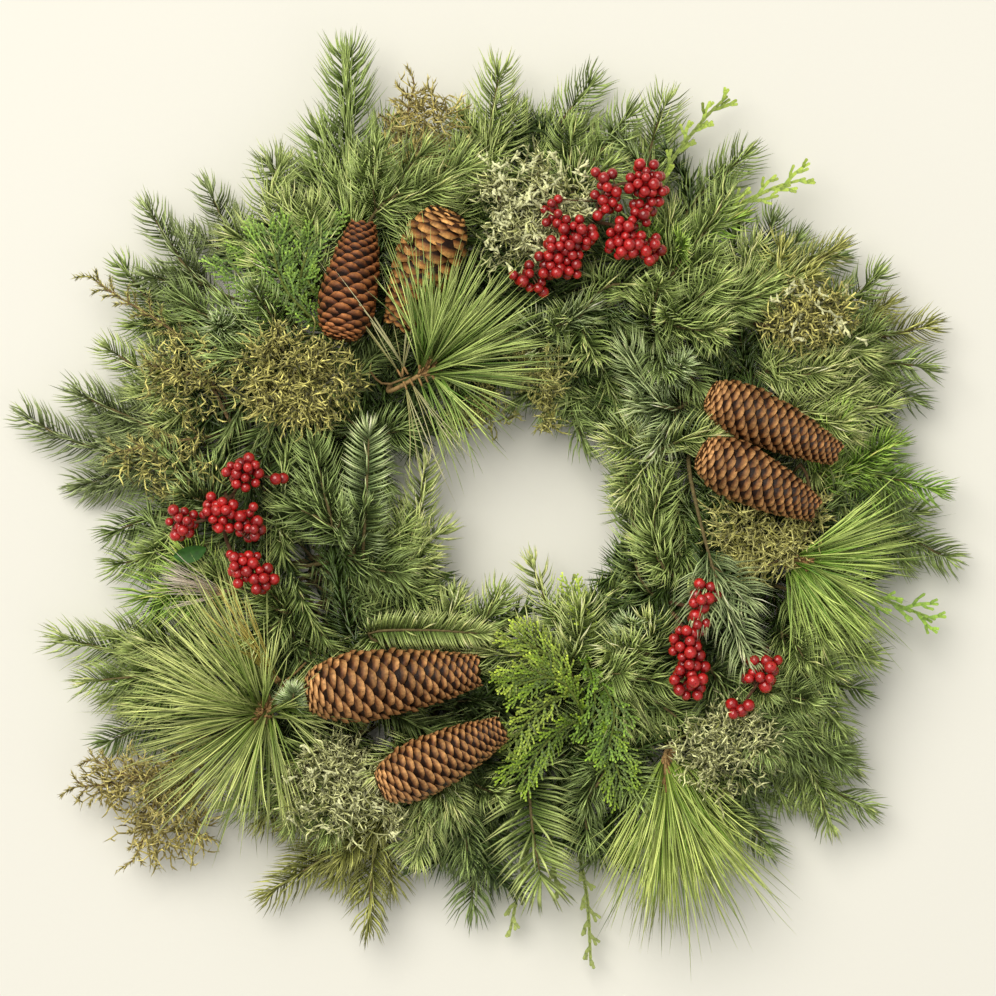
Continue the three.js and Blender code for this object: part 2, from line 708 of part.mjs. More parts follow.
function crossesOthers(owner, stations, extra) {
  for (let i = 0; i + 1 < stations.length; i += 1) {
    const [p, q] = [stations[i], stations[i + 1]];
    const fat = i > 0 ? extra : 0;
    const capsule = { owner, a: p.point, b: q.point, ra: p.radius + fat, rb: q.radius + extra };
    if (outOfBounds(p.point, q.point, 1)) {
      return true;
    }
    if (thicket.blocks(capsule, (other) => (other.owner === owner ? null : CORE_GAP))) {
      return true;
    }
  }
  return false;
}

/** The first way for a shoot that stays clear of all that was laid before it. */
function layShoot(spray, index, heights, path, kind, extra) {
  for (const lift of LIFTS) {
    for (const rise of EXIT_RISES) {
      for (const sidestep of SIDESTEPS) {
        const points = wayOf(spray, index, heights, path, lift, sidestep, rise);
        const curve = new THREE.CatmullRomCurve3(points, false, "centripetal");
        const stations = stationsOf(curve, lengthTo(curve, 2), kind);
        if (!crossesOthers(spray.name, stations, extra)) {
          return { curve, stations };
        }
      }
    }
  }
  throw new Error(`no clear way for shoot ${index} of ${spray.name}`);
}

function keepShoot(owner, shootId, stations) {
  for (let i = 0; i + 1 < stations.length; i += 1) {
    const [p, q] = [stations[i], stations[i + 1]];
    thicket.add({ owner, shootId, core: true, a: p.point, b: q.point, ra: p.radius, rb: q.radius });
  }
}

// ------------------------------------------------------------ growing needles
/** The three-sided twig of a shoot, with its needles raised from the whorls' faces. */
function shootSolid(twig, random) {
  const { stations, kind, needle, owner, shootId, twist } = twig;
  const corners = [];
  const triangles = [];
  const ringAngle = (j) => radians(30 + 120 * j) + twist;
  stations.slice(0, -1).forEach((station) => {
    for (let j = 0; j < 3; j += 1) {
      corners.push(station.point.clone()
        .addScaledVector(station.right, station.radius * Math.cos(ringAngle(j)))
        .addScaledVector(station.up, station.radius * Math.sin(ringAngle(j))));
    }
  });
  const tip = corners.push(stations.at(-1).point.clone()) - 1;
  const corner = (i, j) => 3 * i + (j % 3);
  triangles.push([corner(0, 0), corner(0, 2), corner(0, 1)]);
  const lastRing = stations.length - 2;
  for (let i = 0; i < lastRing; i += 1) {
    for (let j = 0; j < 3; j += 1) {
      const faces = [
        [corner(i, j), corner(i, j + 1), corner(i + 1, j)],
        [corner(i, j + 1), corner(i + 1, j + 1), corner(i + 1, j)],
      ];
      faces.forEach((face, half) => {
        const apex = stations[i].whorl ? needleTip(face, i, j, half) : null;
        if (apex === null) {
          triangles.push(face);
          return;
        }
        const top = corners.push(apex) - 1;
        for (let k = 0; k < 3; k += 1) {
          triangles.push([face[k], face[(k + 1) % 3], top]);
        }
      });
    }
  }
  for (let j = 0; j < 3; j += 1) {
    triangles.push([corner(lastRing, j), corner(lastRing, j + 1), tip]);
  }
  return solidOf(geometryFrom(corners, triangles));

  /** Where a needle's point goes, or null where there is no room for one. */
  function needleTip(face, i, j, half) {
    const station = stations[i];
    const [a, b, c] = face.map((index) => corners[index]);
    const root = a.clone().add(b).add(c).divideScalar(3);
    const normal = b.clone().sub(a).cross(c.clone().sub(a)).normalize();
    const sideways = half === 0 ? -1 : 1;
    const grown = 0.8 + 0.2 * Math.sin(Math.PI * Math.min(1, 1.15 * station.u));
    const lean = kind.lean + 16 * Math.max(0, station.u - 0.8) / 0.2 + 5 * sideways;
    const jitter = 8 * (random() - 0.5);
    for (const shrink of SHRINKS) {
      for (const turn of TURNS) {
        const angle = ringAngle(j) + radians(60 + sideways * SPREAD + turn * 0.6);
        const out = station.right.clone().multiplyScalar(Math.cos(angle))
          .addScaledVector(station.up, (1 - kind.flat) * Math.sin(angle)).normalize();
        const slope = radians(Math.min(72, lean + jitter + turn));
        const way = out.multiplyScalar(Math.cos(slope)).addScaledVector(station.forward, Math.sin(slope));
        if (way.dot(normal) < 0.3) {
          continue;
        }
        const end = root.clone().addScaledVector(way, needle * grown * shrink);
        const capsule = { owner, shootId, whorl: i, a: root, b: end, ra: 1.2, rb: 0.1 };
        if (outOfBounds(root, end, 0.4) || thicket.blocks(capsule, gapFrom(i))) {
          continue;
        }
        thicket.add(capsule);
        return end;
      }
    }
    return null;
  }

  function gapFrom(whorl) {
    return (other) => {
      if (other.owner !== owner) {
        return NEEDLE_GAP;
      }
      const ownTwig = other.shootId === shootId && (other.core || other.whorl === whorl);
      return ownTwig ? null : OWN_GAP;
    };
  }
}

// -------------------------------------------------------------------- berries
/** A branch and the berries that stand all round its last stretch. */
function berryBranch(branchIndex, laid, bearing, random) {
  const { curve, stations } = laid;
  const total = curve.getLength();
  const core = stations.filter((station) => !station.whorl);
  const solids = [solidOf(rod(core.map((station) => station.point), 1.8, 4))];
  const count = Math.round(bearing / BERRY_PITCH);
  for (let i = 0; i < count; i += 1) {
    const u = Math.min(1, 1 - (BERRY_PITCH * (count - 0.7 - i)) / total);
    const forward = curve.getTangentAt(u);
    const side = new THREE.Vector3().crossVectors(at(0, 0, 1), forward).normalize();
    const above = new THREE.Vector3().crossVectors(forward, side);
    const angle = GOLDEN_ANGLE * (i + 3 * branchIndex);
    const centre = curve.getPointAt(u)
      .addScaledVector(side, BERRY_REACH * Math.cos(angle))
      .addScaledVector(above, BERRY_REACH * Math.sin(angle));
    const berry = new THREE.IcosahedronGeometry(BERRY_RADIUS, 0);
    berry.rotateX(6 * random());
    berry.rotateZ(6 * random());
    berry.translate(centre.x, centre.y, centre.z);
    solids.push(solidOf(berry));
  }
  return solids;
}

// ------------------------------------------------------------------- assembly
const wreath = new THREE.Group();
wreath.name = "wreath";

function addMesh(name, geometry, finish) {
  const plain = geometry.index ? geometry.toNonIndexed() : geometry;
  plain.computeVertexNormals();
  const material = new THREE.MeshStandardMaterial({ ...FINISHES[finish], flatShading: true });
  const mesh = new THREE.Mesh(plain, material);
  mesh.name = name;
  wreath.add(mesh);
}

function build() {
  const random = seededRandom(2024);
  addPath("wire_frame", ringPoints(RING_INNER_RADIUS), RING_WIRE / 2);
  addPath("wire_frame", ringPoints(RING_OUTER_RADIUS), RING_WIRE / 2);
  addMesh("wire_frame", wireFrame(), "green_wire");
  addMesh("binding_wire", bindingWire(), "green_wire");

  CONES.forEach((cone, i) => {
    growCone(cone, `spruce_cone_${i + 1}`);
    addMesh(`spruce_cone_${i + 1}`, coneGeometry(cone), "cone");
  });
  CONE_WIRES.forEach((pair, i) => {
    addMesh(`cone_wire_${i + 1}`, coneWire(pair, `cone_wire_${i + 1}`), "green_wire");
  });

  const names = { fir: "fir_bough", pine: "pine_tuft", cedar: "cedar_spray", lichen: "lichen_twig" };
  const counts = {};
  const sprays = SPRAYS.map(([kindName, slot, side, ...shoots]) => {
    counts[kindName] = (counts[kindName] ?? 0) + 1;
    return { kindName, slot, side, shoots, name: `${names[kindName]}_${counts[kindName]}` };
  });
  const berrySprays = BERRIES.map((berries, i) => ({ ...berries, name: `berry_spray_${i + 1}` }));
  for (const spray of [...sprays, ...berrySprays]) {
    spray.stub = stub(spray);
  }

  for (const spray of berrySprays) {
    spray.laid = spray.branches.map((branch, index) => {
      const heights = branch.way.map((point) => point[2]);
      const laid = layShoot(spray, index, heights, branch.way, KINDS.lichen, 3);
      const total = laid.curve.getLength();
      laid.stations.forEach((station) => {
        const bears = (1 - station.u) * total < branch.bearing + BERRY_RADIUS;
        station.reach = bears ? BERRY_REACH + BERRY_RADIUS : 1.5;
      });
      for (let i = 0; i + 1 < laid.stations.length; i += 1) {
        const [p, q] = [laid.stations[i], laid.stations[i + 1]];
        const reach = Math.max(p.reach, q.reach);
        thicket.add({ owner: spray.name, a: p.point, b: q.point, ra: reach, rb: reach });
      }
      return laid;
    });
  }

  const twigs = [];
  for (const spray of sprays) {
    spray.shoots.forEach((shoot, index) => {
      const kind = KINDS[spray.kindName];
      const heights = shoot.path.map((_, i) => {
        return shoot.rootHeight + ((shoot.tipHeight - shoot.rootHeight) * i) / (shoot.path.length - 1);
      });
      const laid = layShoot(spray, index, heights, shoot.path, kind, 0);
      const shootId = twigs.length;
      keepShoot(spray.name, shootId, laid.stations);
      const twist = 0.5 * index + 0.3 * random();
      twigs.push({ ...laid, kind, needle: shoot.needle, owner: spray.name, shootId, twist });
    });
  }

  const solids = new Map(sprays.map((spray) => [spray.name, [spray.stub]]));
  for (const twig of twigs) {
    solids.get(twig.owner).push(shootSolid(twig, random));
  }
  for (const spray of sprays) {
    addMesh(spray.name, geometryOf(fuse(solids.get(spray.name))), spray.kindName);
  }
  for (const spray of berrySprays) {
    const parts = spray.laid.flatMap((laid, i) => {
      return berryBranch(i, laid, spray.branches[i].bearing, random);
    });
    addMesh(spray.name, geometryOf(fuse([spray.stub, ...parts])), "berry");
  }

  const box = new THREE.Box3().setFromObject(wreath);
  const centre = box.getCenter(new THREE.Vector3());
  wreath.position.set(-centre.x, -centre.y, -box.min.z);
}

function ringPoints(radius) {
  const points = [];
  for (let i = 0; i <= RING_STEPS; i += 1) {
    points.push(polar(radius, (360 / RING_STEPS) * i, RING_BOTTOM + RING_WIRE / 2));
  }
  return points;
}

build();

export default wreath;
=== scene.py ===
"""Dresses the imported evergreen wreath: needles, scale leaves, lichen, cones, berries and wire.

Layouts are in millimetres from the ring's centre, with +Z towards the wreath's front.
Meshes are made in metres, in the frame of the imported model.
"""

import logging
import math
import zlib
from dataclasses import dataclass
from enum import Enum
from typing import ClassVar

import bpy
import numpy as np
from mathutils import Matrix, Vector


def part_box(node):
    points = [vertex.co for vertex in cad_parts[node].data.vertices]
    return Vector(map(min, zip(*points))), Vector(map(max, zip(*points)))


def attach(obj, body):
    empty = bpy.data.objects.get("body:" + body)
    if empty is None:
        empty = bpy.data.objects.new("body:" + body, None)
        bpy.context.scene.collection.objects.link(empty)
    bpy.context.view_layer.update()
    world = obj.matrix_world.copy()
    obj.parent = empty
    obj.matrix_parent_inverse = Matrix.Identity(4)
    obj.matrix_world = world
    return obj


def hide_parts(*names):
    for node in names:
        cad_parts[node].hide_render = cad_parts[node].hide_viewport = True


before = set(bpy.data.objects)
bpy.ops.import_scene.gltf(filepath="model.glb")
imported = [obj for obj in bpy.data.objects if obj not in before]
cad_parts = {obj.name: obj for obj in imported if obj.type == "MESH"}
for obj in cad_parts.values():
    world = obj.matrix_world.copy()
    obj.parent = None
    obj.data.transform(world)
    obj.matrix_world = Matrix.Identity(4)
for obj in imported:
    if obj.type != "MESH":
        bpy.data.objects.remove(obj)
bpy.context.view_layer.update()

Colour = tuple[int, int, int]
Place = tuple[float, float, float]
Dice = np.random.Generator

LOG = logging.getLogger("wreath")
BODY = "root"
MM = 0.001
UP = np.array([0.0, 0.0, 1.0])
GOLDEN_TURN = math.radians(137.508)

# The ring's two wires, the middle between them, and where stems tie on.
RING_RADII = (140.0, 165.0)
RING_MIDDLE = sum(RING_RADII) / 2
TIE_HEIGHT = 10.0
SLOT_HEIGHTS = (8.5, 10.5)
STUB_RADIUS = 1.75
STUB_STATIONS = 7
INSIDE_STUB = (128.0, 170.0)
OUTSIDE_STUB = (135.0, 177.0)
OUTSIDE_FROM = 150

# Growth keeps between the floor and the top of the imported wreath.
HIGHEST_NEEDLE = 117.0
NEEDLE_FLOOR = 1.5
STRAND_FLOOR = 2.0
FROND_FLOOR = 2.5
SPRIG_FLOOR = 3
CLUMP_FLOOR = 4
SIDE_TWIG_FLOOR = 5

# From here outwards the needles take less of their pale point colour, itself partly painted
# highlight, and more of their darker root colour.
RIM_FROM = 215
RIM_WIDTH = 50
RIM_DULLING = 0.38
BRIGHTEST = 0.9


# ---------------------------------------------------------------- small helpers
def unit(vectors: np.ndarray) -> np.ndarray:
    """Scale vectors to length one, along the last axis."""
    return vectors / np.maximum(np.linalg.norm(vectors, axis=-1, keepdims=True), 1e-9)


def linear(colour: Colour) -> np.ndarray:
    """Turn a display colour, 0 to 255, into linear light."""
    value = np.array(colour, float) / 255
    return np.where(value <= 0.04045, value / 12.92, ((value + 0.055) / 1.055) ** 2.4)


def dice(name: str) -> Dice:
    """A random generator that a name seeds, so that every run is the same."""
    return np.random.default_rng(zlib.crc32(name.encode()))


def way(text: str) -> np.ndarray:
    """Read the points of a way.

    Args:
        text: Its points as x,y,z with spaces between. The first two lie in the spray's slot
            on the ring, and may leave their heights out.

    Returns:
        The points, root first.
    """
    points = [[float(v) for v in point.split(",")] for point in text.split()]
    for point, height in zip(points, SLOT_HEIGHTS):
        if len(point) == 2:
            point.append(height)
    return np.array(points)


def polar(radius: float, degrees: float, height: float) -> np.ndarray:
    """A point at a radius and an angle round the ring."""
    angle = math.radians(degrees)
    return np.array([radius * math.cos(angle), radius * math.sin(angle), height])


def leaning(frame_at: tuple[np.ndarray, ...], angle: np.ndarray, lean: np.ndarray) -> np.ndarray:
    """Directions that lean off a stem.

    Args:
        frame_at: Points and frames of the stem, as Stem.at gives them.
        angle: Where round the stem each one leaves it.
        lean: How far each one leans away from the stem.

    Returns:
        A direction of length one for each station.
    """
    _, forward, side, above = frame_at
    out = side * np.cos(angle)[:, None] + above * np.sin(angle)[:, None]
    return out * np.sin(lean)[:, None] + forward * np.cos(lean)[:, None]


def hand_of(index: int) -> int:
    """Which hand a side shoot goes to, turn about."""
    return 1 if index % 2 else -1


def grid_faces(number: np.ndarray) -> np.ndarray:
    """Four-cornered faces over a grid of numbered points."""
    corners = [number[:-1, :-1], number[:-1, 1:], number[1:, 1:], number[1:, :-1]]
    return np.stack(corners, -1).reshape(-1, 4)


def ring_centre() -> Vector:
    """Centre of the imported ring, in metres."""
    return sum(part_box("wire_frame"), Vector()) / 2


def across_and_above(axis: np.ndarray) -> tuple[np.ndarray, np.ndarray]:
    """Directions across an axis and above it."""
    across = unit(np.cross(UP, axis))
    return across, np.cross(axis, across)


def centripetal(points: np.ndarray, per_leg: int) -> np.ndarray:
    """A smooth centripetal line through points.

    Args:
        points: The points that it passes through.
        per_leg: How many steps each leg between two points gets.

    Returns:
        The points of the line, closely spaced.
    """
    padded = np.vstack([2 * points[0] - points[1], points, 2 * points[-1] - points[-2]])
    line = []
    for i in range(1, len(padded) - 2):
        p0, p1, p2, p3 = padded[i - 1:i + 3]
        legs = ((p0, p1), (p1, p2), (p2, p3))
        d0, d1, d2 = (max(float(np.linalg.norm(q - p)) ** 0.5, 1e-4) for p, q in legs)
        m1 = ((p1 - p0) / d0 - (p2 - p0) / (d0 + d1) + (p2 - p1) / d1) * d1
        m2 = ((p2 - p1) / d1 - (p3 - p1) / (d1 + d2) + (p3 - p2) / d2) * d1
        t = np.linspace(0, 1, per_leg, endpoint=False)[:, None]
        line.append((2 * t ** 3 - 3 * t ** 2 + 1) * p1 + (t ** 3 - 2 * t ** 2 + t) * m1
                    + (3 * t ** 2 - 2 * t ** 3) * p2 + (t ** 3 - t ** 2) * m2)
    return np.vstack([*line, points[-1:]])


class Stem:
    """The centre line of a twig, with a frame at every station.

    The frame turns as little as it can along the twig, and LEVELLING draws its upward
    direction back to the wreath's own, so that flat shoots keep their face to the front.
    """

    LEG_STEPS = 16
    LEVELLING = 0.3
    STEEP = 0.9

    def __init__(self, points: np.ndarray, step: float = 2.0) -> None:
        """Lay the line.

        Args:
            points: The points that it passes through, root first.
            step: Distance between its stations.
        """
        line = centripetal(np.asarray(points, float), self.LEG_STEPS)
        run = np.concatenate([[0], np.cumsum(np.linalg.norm(np.diff(line, axis=0), axis=1))])
        self.length = float(run[-1])
        self.marks = run[::self.LEG_STEPS]
        count = max(3, int(self.length / step) + 1)
        self.stations = np.linspace(0, self.length, count)
        self.points = self._spread(line, run, self.stations)
        self.forward = unit(np.gradient(self.points, axis=0))
        above = np.zeros_like(self.forward)
        last = UP if abs(self.forward[0][2]) < self.STEEP else np.array([1.0, 0, 0])
        for i, forward in enumerate(self.forward):
            level = self.LEVELLING * max(0.0, 1 - forward[2] ** 2 / 0.7)
            carried = unit(last - forward * (last @ forward))
            last = unit((1 - level) * carried + level * (UP - forward * forward[2]))
            above[i] = last
        self.above = above

    def cut(self, short: float) -> "Stem":
        """The same stem, made shorter at its end."""
        keep = self.stations <= self.length - short
        self.points, self.forward = self.points[keep], self.forward[keep]
        self.above, self.stations = self.above[keep], self.stations[keep]
        self.length = float(self.stations[-1])
        return self

    @staticmethod
    def _spread(values: np.ndarray, run: np.ndarray, along: np.ndarray) -> np.ndarray:
        """Read values that are known at run off at along."""
        return np.stack([np.interp(along, run, values[:, k]) for k in range(3)], axis=-1)

    def at(self, along: np.ndarray) -> tuple[np.ndarray, np.ndarray, np.ndarray, np.ndarray]:
        """Points and frames at distances along the stem.

        Args:
            along: Distances from the root.

        Returns:
            The points, and the forward, sideways and upward directions there.
        """
        point = self._spread(self.points, self.stations, along)
        forward = unit(self._spread(self.forward, self.stations, along))
        above = self._spread(self.above, self.stations, along)
        above = unit(above - forward * np.sum(above * forward, axis=-1, keepdims=True))
        return point, forward, np.cross(forward, above), above

    def one(self, along: float) -> tuple[np.ndarray, ...]:
        """The point and the frame at one distance along the stem."""
        return tuple(rows[0] for rows in self.at(np.array([along])))


# ------------------------------------------------------------------- finishes
def set_sockets(node: bpy.types.Node, values: dict[str, float | tuple[float, ...]]) -> None:
    """Set a node's own sockets by name."""
    for socket, value in values.items():
        node.inputs[socket].default_value = value


def add_node(tree: bpy.types.NodeTree, kind: str, values: dict[str, float]) -> bpy.types.Node:
    """Add a node of a kind, with its sockets set."""
    node = tree.nodes.new(kind)
    set_sockets(node, values)
    return node


def new_paint(name: str) -> tuple[bpy.types.Material, bpy.types.Node, bpy.types.NodeSocket]:
    """Start a material.

    Args:
        name: Its name.

    Returns:
        The material, its shader, and the socket that gives places on the object.
    """
    made = bpy.data.materials.new(name)
    made.use_nodes = True
    nodes = made.node_tree.nodes
    return made, nodes["Principled BSDF"], nodes.new("ShaderNodeTexCoord").outputs["Object"]


def roughen(tree: bpy.types.NodeTree, shader: bpy.types.Node, place: bpy.types.NodeSocket,
            grain: dict[str, float], relief: dict[str, float]) -> None:
    """Give a shader a fine grain.

    Args:
        tree: The material's nodes.
        shader: Its shader.
        place: The socket that gives places on the object.
        grain: The noise's sockets.
        relief: The bump's sockets.
    """
    noise = add_node(tree, "ShaderNodeTexNoise", grain)
    bump = add_node(tree, "ShaderNodeBump", relief)
    tree.links.new(place, noise.inputs["Vector"])
    tree.links.new(noise.outputs["Fac"], bump.inputs["Height"])
    tree.links.new(bump.outputs["Normal"], shader.inputs["Normal"])


@dataclass(frozen=True)
class Finish:
    """A surface whose base colour is woven into the mesh and mottled by noise."""

    name: str
    roughness: float
    mottle: float = 0.25
    grain: float = 900.0
    bump: float = 0.15
    bump_grain: float = 2500.0
    specular: float = 0.5
    coat: float = 0.0
    sheen: float = 0.0

    def material(self) -> bpy.types.Material:
        """The material, made once and shared after that."""
        known = bpy.data.materials.get(self.name)
        if known:
            return known
        made, shader, place = new_paint(self.name)
        set_sockets(shader, {
            "Roughness": self.roughness,
            "Specular IOR Level": self.specular,
            "Coat Weight": self.coat,
            "Coat Roughness": 0.12,
            "Sheen Weight": self.sheen,
        })
        tree = made.node_tree
        tint = tree.nodes.new("ShaderNodeAttribute")
        tint.attribute_name = "tint"
        noise = add_node(tree, "ShaderNodeTexNoise", {"Scale": self.grain, "Detail": 3.0})
        span = add_node(tree, "ShaderNodeMapRange", {
            "From Min": 0.3,
            "From Max": 0.7,
            "To Min": 1 - self.mottle,
            "To Max": 1 + self.mottle,
        })
        scale = tree.nodes.new("ShaderNodeVectorMath")
        scale.operation = "SCALE"
        tree.links.new(place, noise.inputs["Vector"])
        tree.links.new(noise.outputs["Fac"], span.inputs["Value"])
        tree.links.new(tint.outputs["Color"], scale.inputs[0])
        tree.links.new(span.outputs["Result"], scale.inputs["Scale"])
        tree.links.new(scale.outputs["Vector"], shader.inputs["Base Color"])
        fine = {"Scale": self.bump_grain, "Detail": 2.0}
        roughen(tree, shader, place, fine, {"Strength": self.bump, "Distance": 0.0004})
        return made


NEEDLE = Finish("waxy_needle", roughness=0.36, mottle=0.22, specular=0.7)
LONG_NEEDLE = Finish("long_pine_needle", roughness=0.38, mottle=0.15, specular=0.6)
SCALE_LEAF = Finish("cedar_scale_leaf", roughness=0.5, mottle=0.25, specular=0.45)
MOSS = Finish("dry_lichen", roughness=0.85, mottle=0.35, grain=700, bump=0.5, specular=0.2,
              sheen=0.15)
BARK = Finish("twig_bark", roughness=0.8, mottle=0.4, grain=500, bump=0.6, bump_grain=1400,
              specular=0.3)
WOODY = Finish("cone_scale", roughness=0.52, mottle=0.4, grain=450, bump=0.6, bump_grain=1100,
               specular=0.22)
SKIN = Finish("berry_skin", roughness=0.26, mottle=0.3, grain=320, bump=0.3, bump_grain=420,
              specular=0.6, coat=0.45)
WIRE = Finish("green_enamel_wire", roughness=0.35, mottle=0.2, grain=600, bump=0.2, specular=0.6)
GLOSSY_LEAF = Finish("glossy_leaf", roughness=0.55, mottle=0.25, grain=300, bump=0.3,
                     specular=0.3)


@dataclass(frozen=True)
class Tint:
    """A leaf's colours, at its root and at its point, with how much they vary."""

    root: Colour
    point: Colour
    vary: float = 0.22

    def mix(self, blend: np.ndarray) -> np.ndarray:
        """Linear colours between root and point, at shares from 0 to 1."""
        return linear(self.root) * (1 - blend) + linear(self.point) * blend


class Tone(Enum):
    """The greens of the fir shoots."""

    DARK = Tint((50, 74, 30), (168, 190, 112), 0.26)
    MID = Tint((66, 98, 36), (196, 216, 126), 0.26)
    LIGHT = Tint((88, 124, 44), (222, 236, 146), 0.25)
    BRIGHT = Tint((72, 126, 32), (194, 230, 104), 0.25)
    BLUE = Tint((60, 94, 44), (208, 226, 158), 0.25)
    FROST = Tint((76, 110, 54), (200, 220, 158), 0.24)
    OLIVE = Tint((94, 106, 38), (216, 216, 124), 0.25)
    SAGE = Tint((70, 90, 42), (198, 214, 144), 0.26)
    # Painted shade: the near-black green that the undergrowth mostly wears, so that gaps in the
    # wreath read as shadow.
    PAINTED_SHADE = Tint((30, 46, 18), (84, 108, 46), 0.25)


# -------------------------------------------------------------------- weaving
class Weave:
    """Collects the corners, faces and colours of one piece, and makes its mesh."""

    def __init__(self, name: str, finishes: list[Finish]) -> None:
        """Start an empty piece of that name, which wears those finishes."""
        self.name = name
        self.finishes = finishes
        self.corners: list[np.ndarray] = []
        self.tints: list[np.ndarray] = []
        self.faces: list[tuple[np.ndarray, int, bool]] = []
        self.count = 0

    def add(self, corners: np.ndarray, faces: list[np.ndarray], tint: np.ndarray,
            finish: Finish, smooth: bool = True) -> None:
        """Add one batch of geometry.

        Args:
            corners: Its points, in ring millimetres.
            faces: Arrays of three- or four-cornered faces, numbered from its first point.
            tint: A colour for each point, or one for all.
            finish: Which of the piece's finishes it wears.
            smooth: Whether it is shaded smooth.
        """
        slot = self.finishes.index(finish)
        self.corners.append(corners.reshape(-1, 3))
        self.tints.append(np.broadcast_to(tint, corners.shape).reshape(-1, 3))
        for batch in faces:
            self.faces.append((batch.astype(np.int64) + self.count, slot, smooth))
        self.count += self.corners[-1].shape[0]

    def tubes(self, paths: np.ndarray, radii: np.ndarray, tint: np.ndarray, finish: Finish,
              sides: int = 3, above: np.ndarray = UP, thin: float = 1.0,
              smooth: bool = True) -> None:
        """Add tapered strands that end in a point.

        Args:
            paths: Strands by stations by three, root first.
            radii: Strands by stations; the last one is left out.
            tint: A colour for each station, or anything that stretches to that.
            finish: Which of the piece's finishes they wear.
            sides: Sides of their section.
            above: Which way the top of the section looks.
            thin: Height of the section over its width.
            smooth: Whether they are shaded smooth.
        """
        strands, stations, _ = paths.shape
        forward = unit(np.gradient(paths, axis=1))
        side = np.cross(forward, np.broadcast_to(above, paths.shape))
        upright = np.linalg.norm(side, axis=-1, keepdims=True) < 0.05
        side = unit(np.where(upright, np.cross(forward, np.array([1.0, 0, 0])), side))
        top = np.cross(side, forward)
        first_corner = 0.25 if sides == 3 else 0.5
        angle = 2 * np.pi * (np.arange(sides) + first_corner) / sides
        ring = side[:, :, None] * np.cos(angle)[:, None]
        ring = ring + top[:, :, None] * (thin * np.sin(angle))[:, None]
        rings = paths[:, :-1, None] + ring[:, :-1] * radii[:, :-1, None, None]
        tint = np.broadcast_to(tint, paths.shape)
        per_strand = (stations - 1) * sides + 1
        corners = np.concatenate([rings.reshape(strands, -1, 3), paths[:, -1:]], axis=1)
        tints = np.concatenate([np.repeat(tint[:, :-1], sides, axis=1), tint[:, -1:]], axis=1)
        here = np.arange(sides)
        beside = (here + 1) % sides
        wall = np.stack([here, beside, beside + sides, here + sides], axis=-1)
        walls = [i * sides + wall for i in range(stations - 2)]
        last = (stations - 2) * sides
        point = np.stack([last + here, last + beside, np.full(sides, per_strand - 1)], axis=-1)
        start = (np.arange(strands) * per_strand)[:, None, None]
        fan = np.stack([np.zeros(sides - 2, int), here[2:], here[1:-1]], axis=-1)
        ends = np.concatenate([point, fan])
        faces = [(start + ends[None]).reshape(-1, 3)]
        if walls:
            faces.append((start + np.concatenate(walls)[None]).reshape(-1, 4))
        self.add(corners, faces, tints, finish, smooth)

    def twig(self, stem: Stem, start: float, thick: float, thin: float, tint: Colour,
             finish: Finish = BARK, sides: int = 6) -> None:
        """Add the wood of a stem, from thick at its root to thin at its end.

        Args:
            stem: The stem.
            start: Where along it the wood begins.
            thick: Its radius at the root.
            thin: Its radius at the end.
            tint: Its colour.
            finish: Which of the piece's finishes it wears.
            sides: Sides of its section.
        """
        taper = np.linspace(thick, thin, len(stem.points))
        rings = max(4, int(stem.length / 7))
        keep = np.unique(np.linspace(0, len(taper) - 1, rings).astype(int))
        keep = keep[stem.stations[keep] >= start - 1]
        self.tubes(stem.points[keep][None], taper[keep][None], linear(tint), finish, sides,
                   stem.above[keep][None])

    def stamps(self, corners: np.ndarray, faces: list[np.ndarray], places: np.ndarray,
               axes: np.ndarray, tint: np.ndarray, finish: Finish, smooth: bool = True) -> None:
        """Add copies of a shape.

        Args:
            corners: The shape's points.
            faces: Its faces.
            places: Where each copy's origin goes.
            axes: For each copy its three axes, scaled, as rows.
            tint: A colour for each copy and point, or anything that stretches to that.
            finish: Which of the piece's finishes they wear.
            smooth: Whether they are shaded smooth.
        """
        copies = len(places)
        moved = np.einsum("pk,ckx->cpx", corners, axes) + places[:, None]
        start = (np.arange(copies) * len(corners))[:, None, None]
        spread = [(start + batch[None]).reshape(-1, batch.shape[1]) for batch in faces]
        self.add(moved, spread, np.broadcast_to(tint, moved.shape), finish, smooth)

    def _mesh(self) -> bpy.types.Mesh:
        """The mesh of all that was added, in metres, with its colours as an attribute."""
        mesh = bpy.data.meshes.new(self.name)
        centre = ring_centre()
        corners = np.concatenate(self.corners) * MM + np.array([centre.x, centre.y, 0.0])
        mesh.vertices.add(len(corners))
        mesh.vertices.foreach_set("co", corners.astype(np.float32).ravel())
        sizes = np.concatenate([np.full(len(f), f.shape[1]) for f, _, _ in self.faces])
        loops = np.concatenate([f.ravel() for f, _, _ in self.faces])
        mesh.loops.add(len(loops))
        mesh.loops.foreach_set("vertex_index", loops.astype(np.int32))
        mesh.polygons.add(len(sizes))
        starts = np.concatenate([[0], np.cumsum(sizes)[:-1]]).astype(np.int32)
        mesh.polygons.foreach_set("loop_start", starts)
        slots = np.concatenate([np.full(len(f), s) for f, s, _ in self.faces]).astype(np.int32)
        mesh.polygons.foreach_set("material_index", slots)
        mesh.update(calc_edges=True)
        mesh.shade_smooth()
        smooth = np.concatenate([np.full(len(f), g) for f, _, g in self.faces])
        mesh.polygons.foreach_set("use_smooth", smooth)
        shade = mesh.attributes.new("tint", "FLOAT_COLOR", "POINT")
        values = np.concatenate([np.concatenate(self.tints), np.ones((len(corners), 1))], axis=1)
        shade.data.foreach_set("color", values.astype(np.float32).ravel())
        for finish in self.finishes:
            mesh.materials.append(finish.material())
        LOG.info("%s: %d triangles", self.name, int((sizes - 2).sum()))
        return mesh

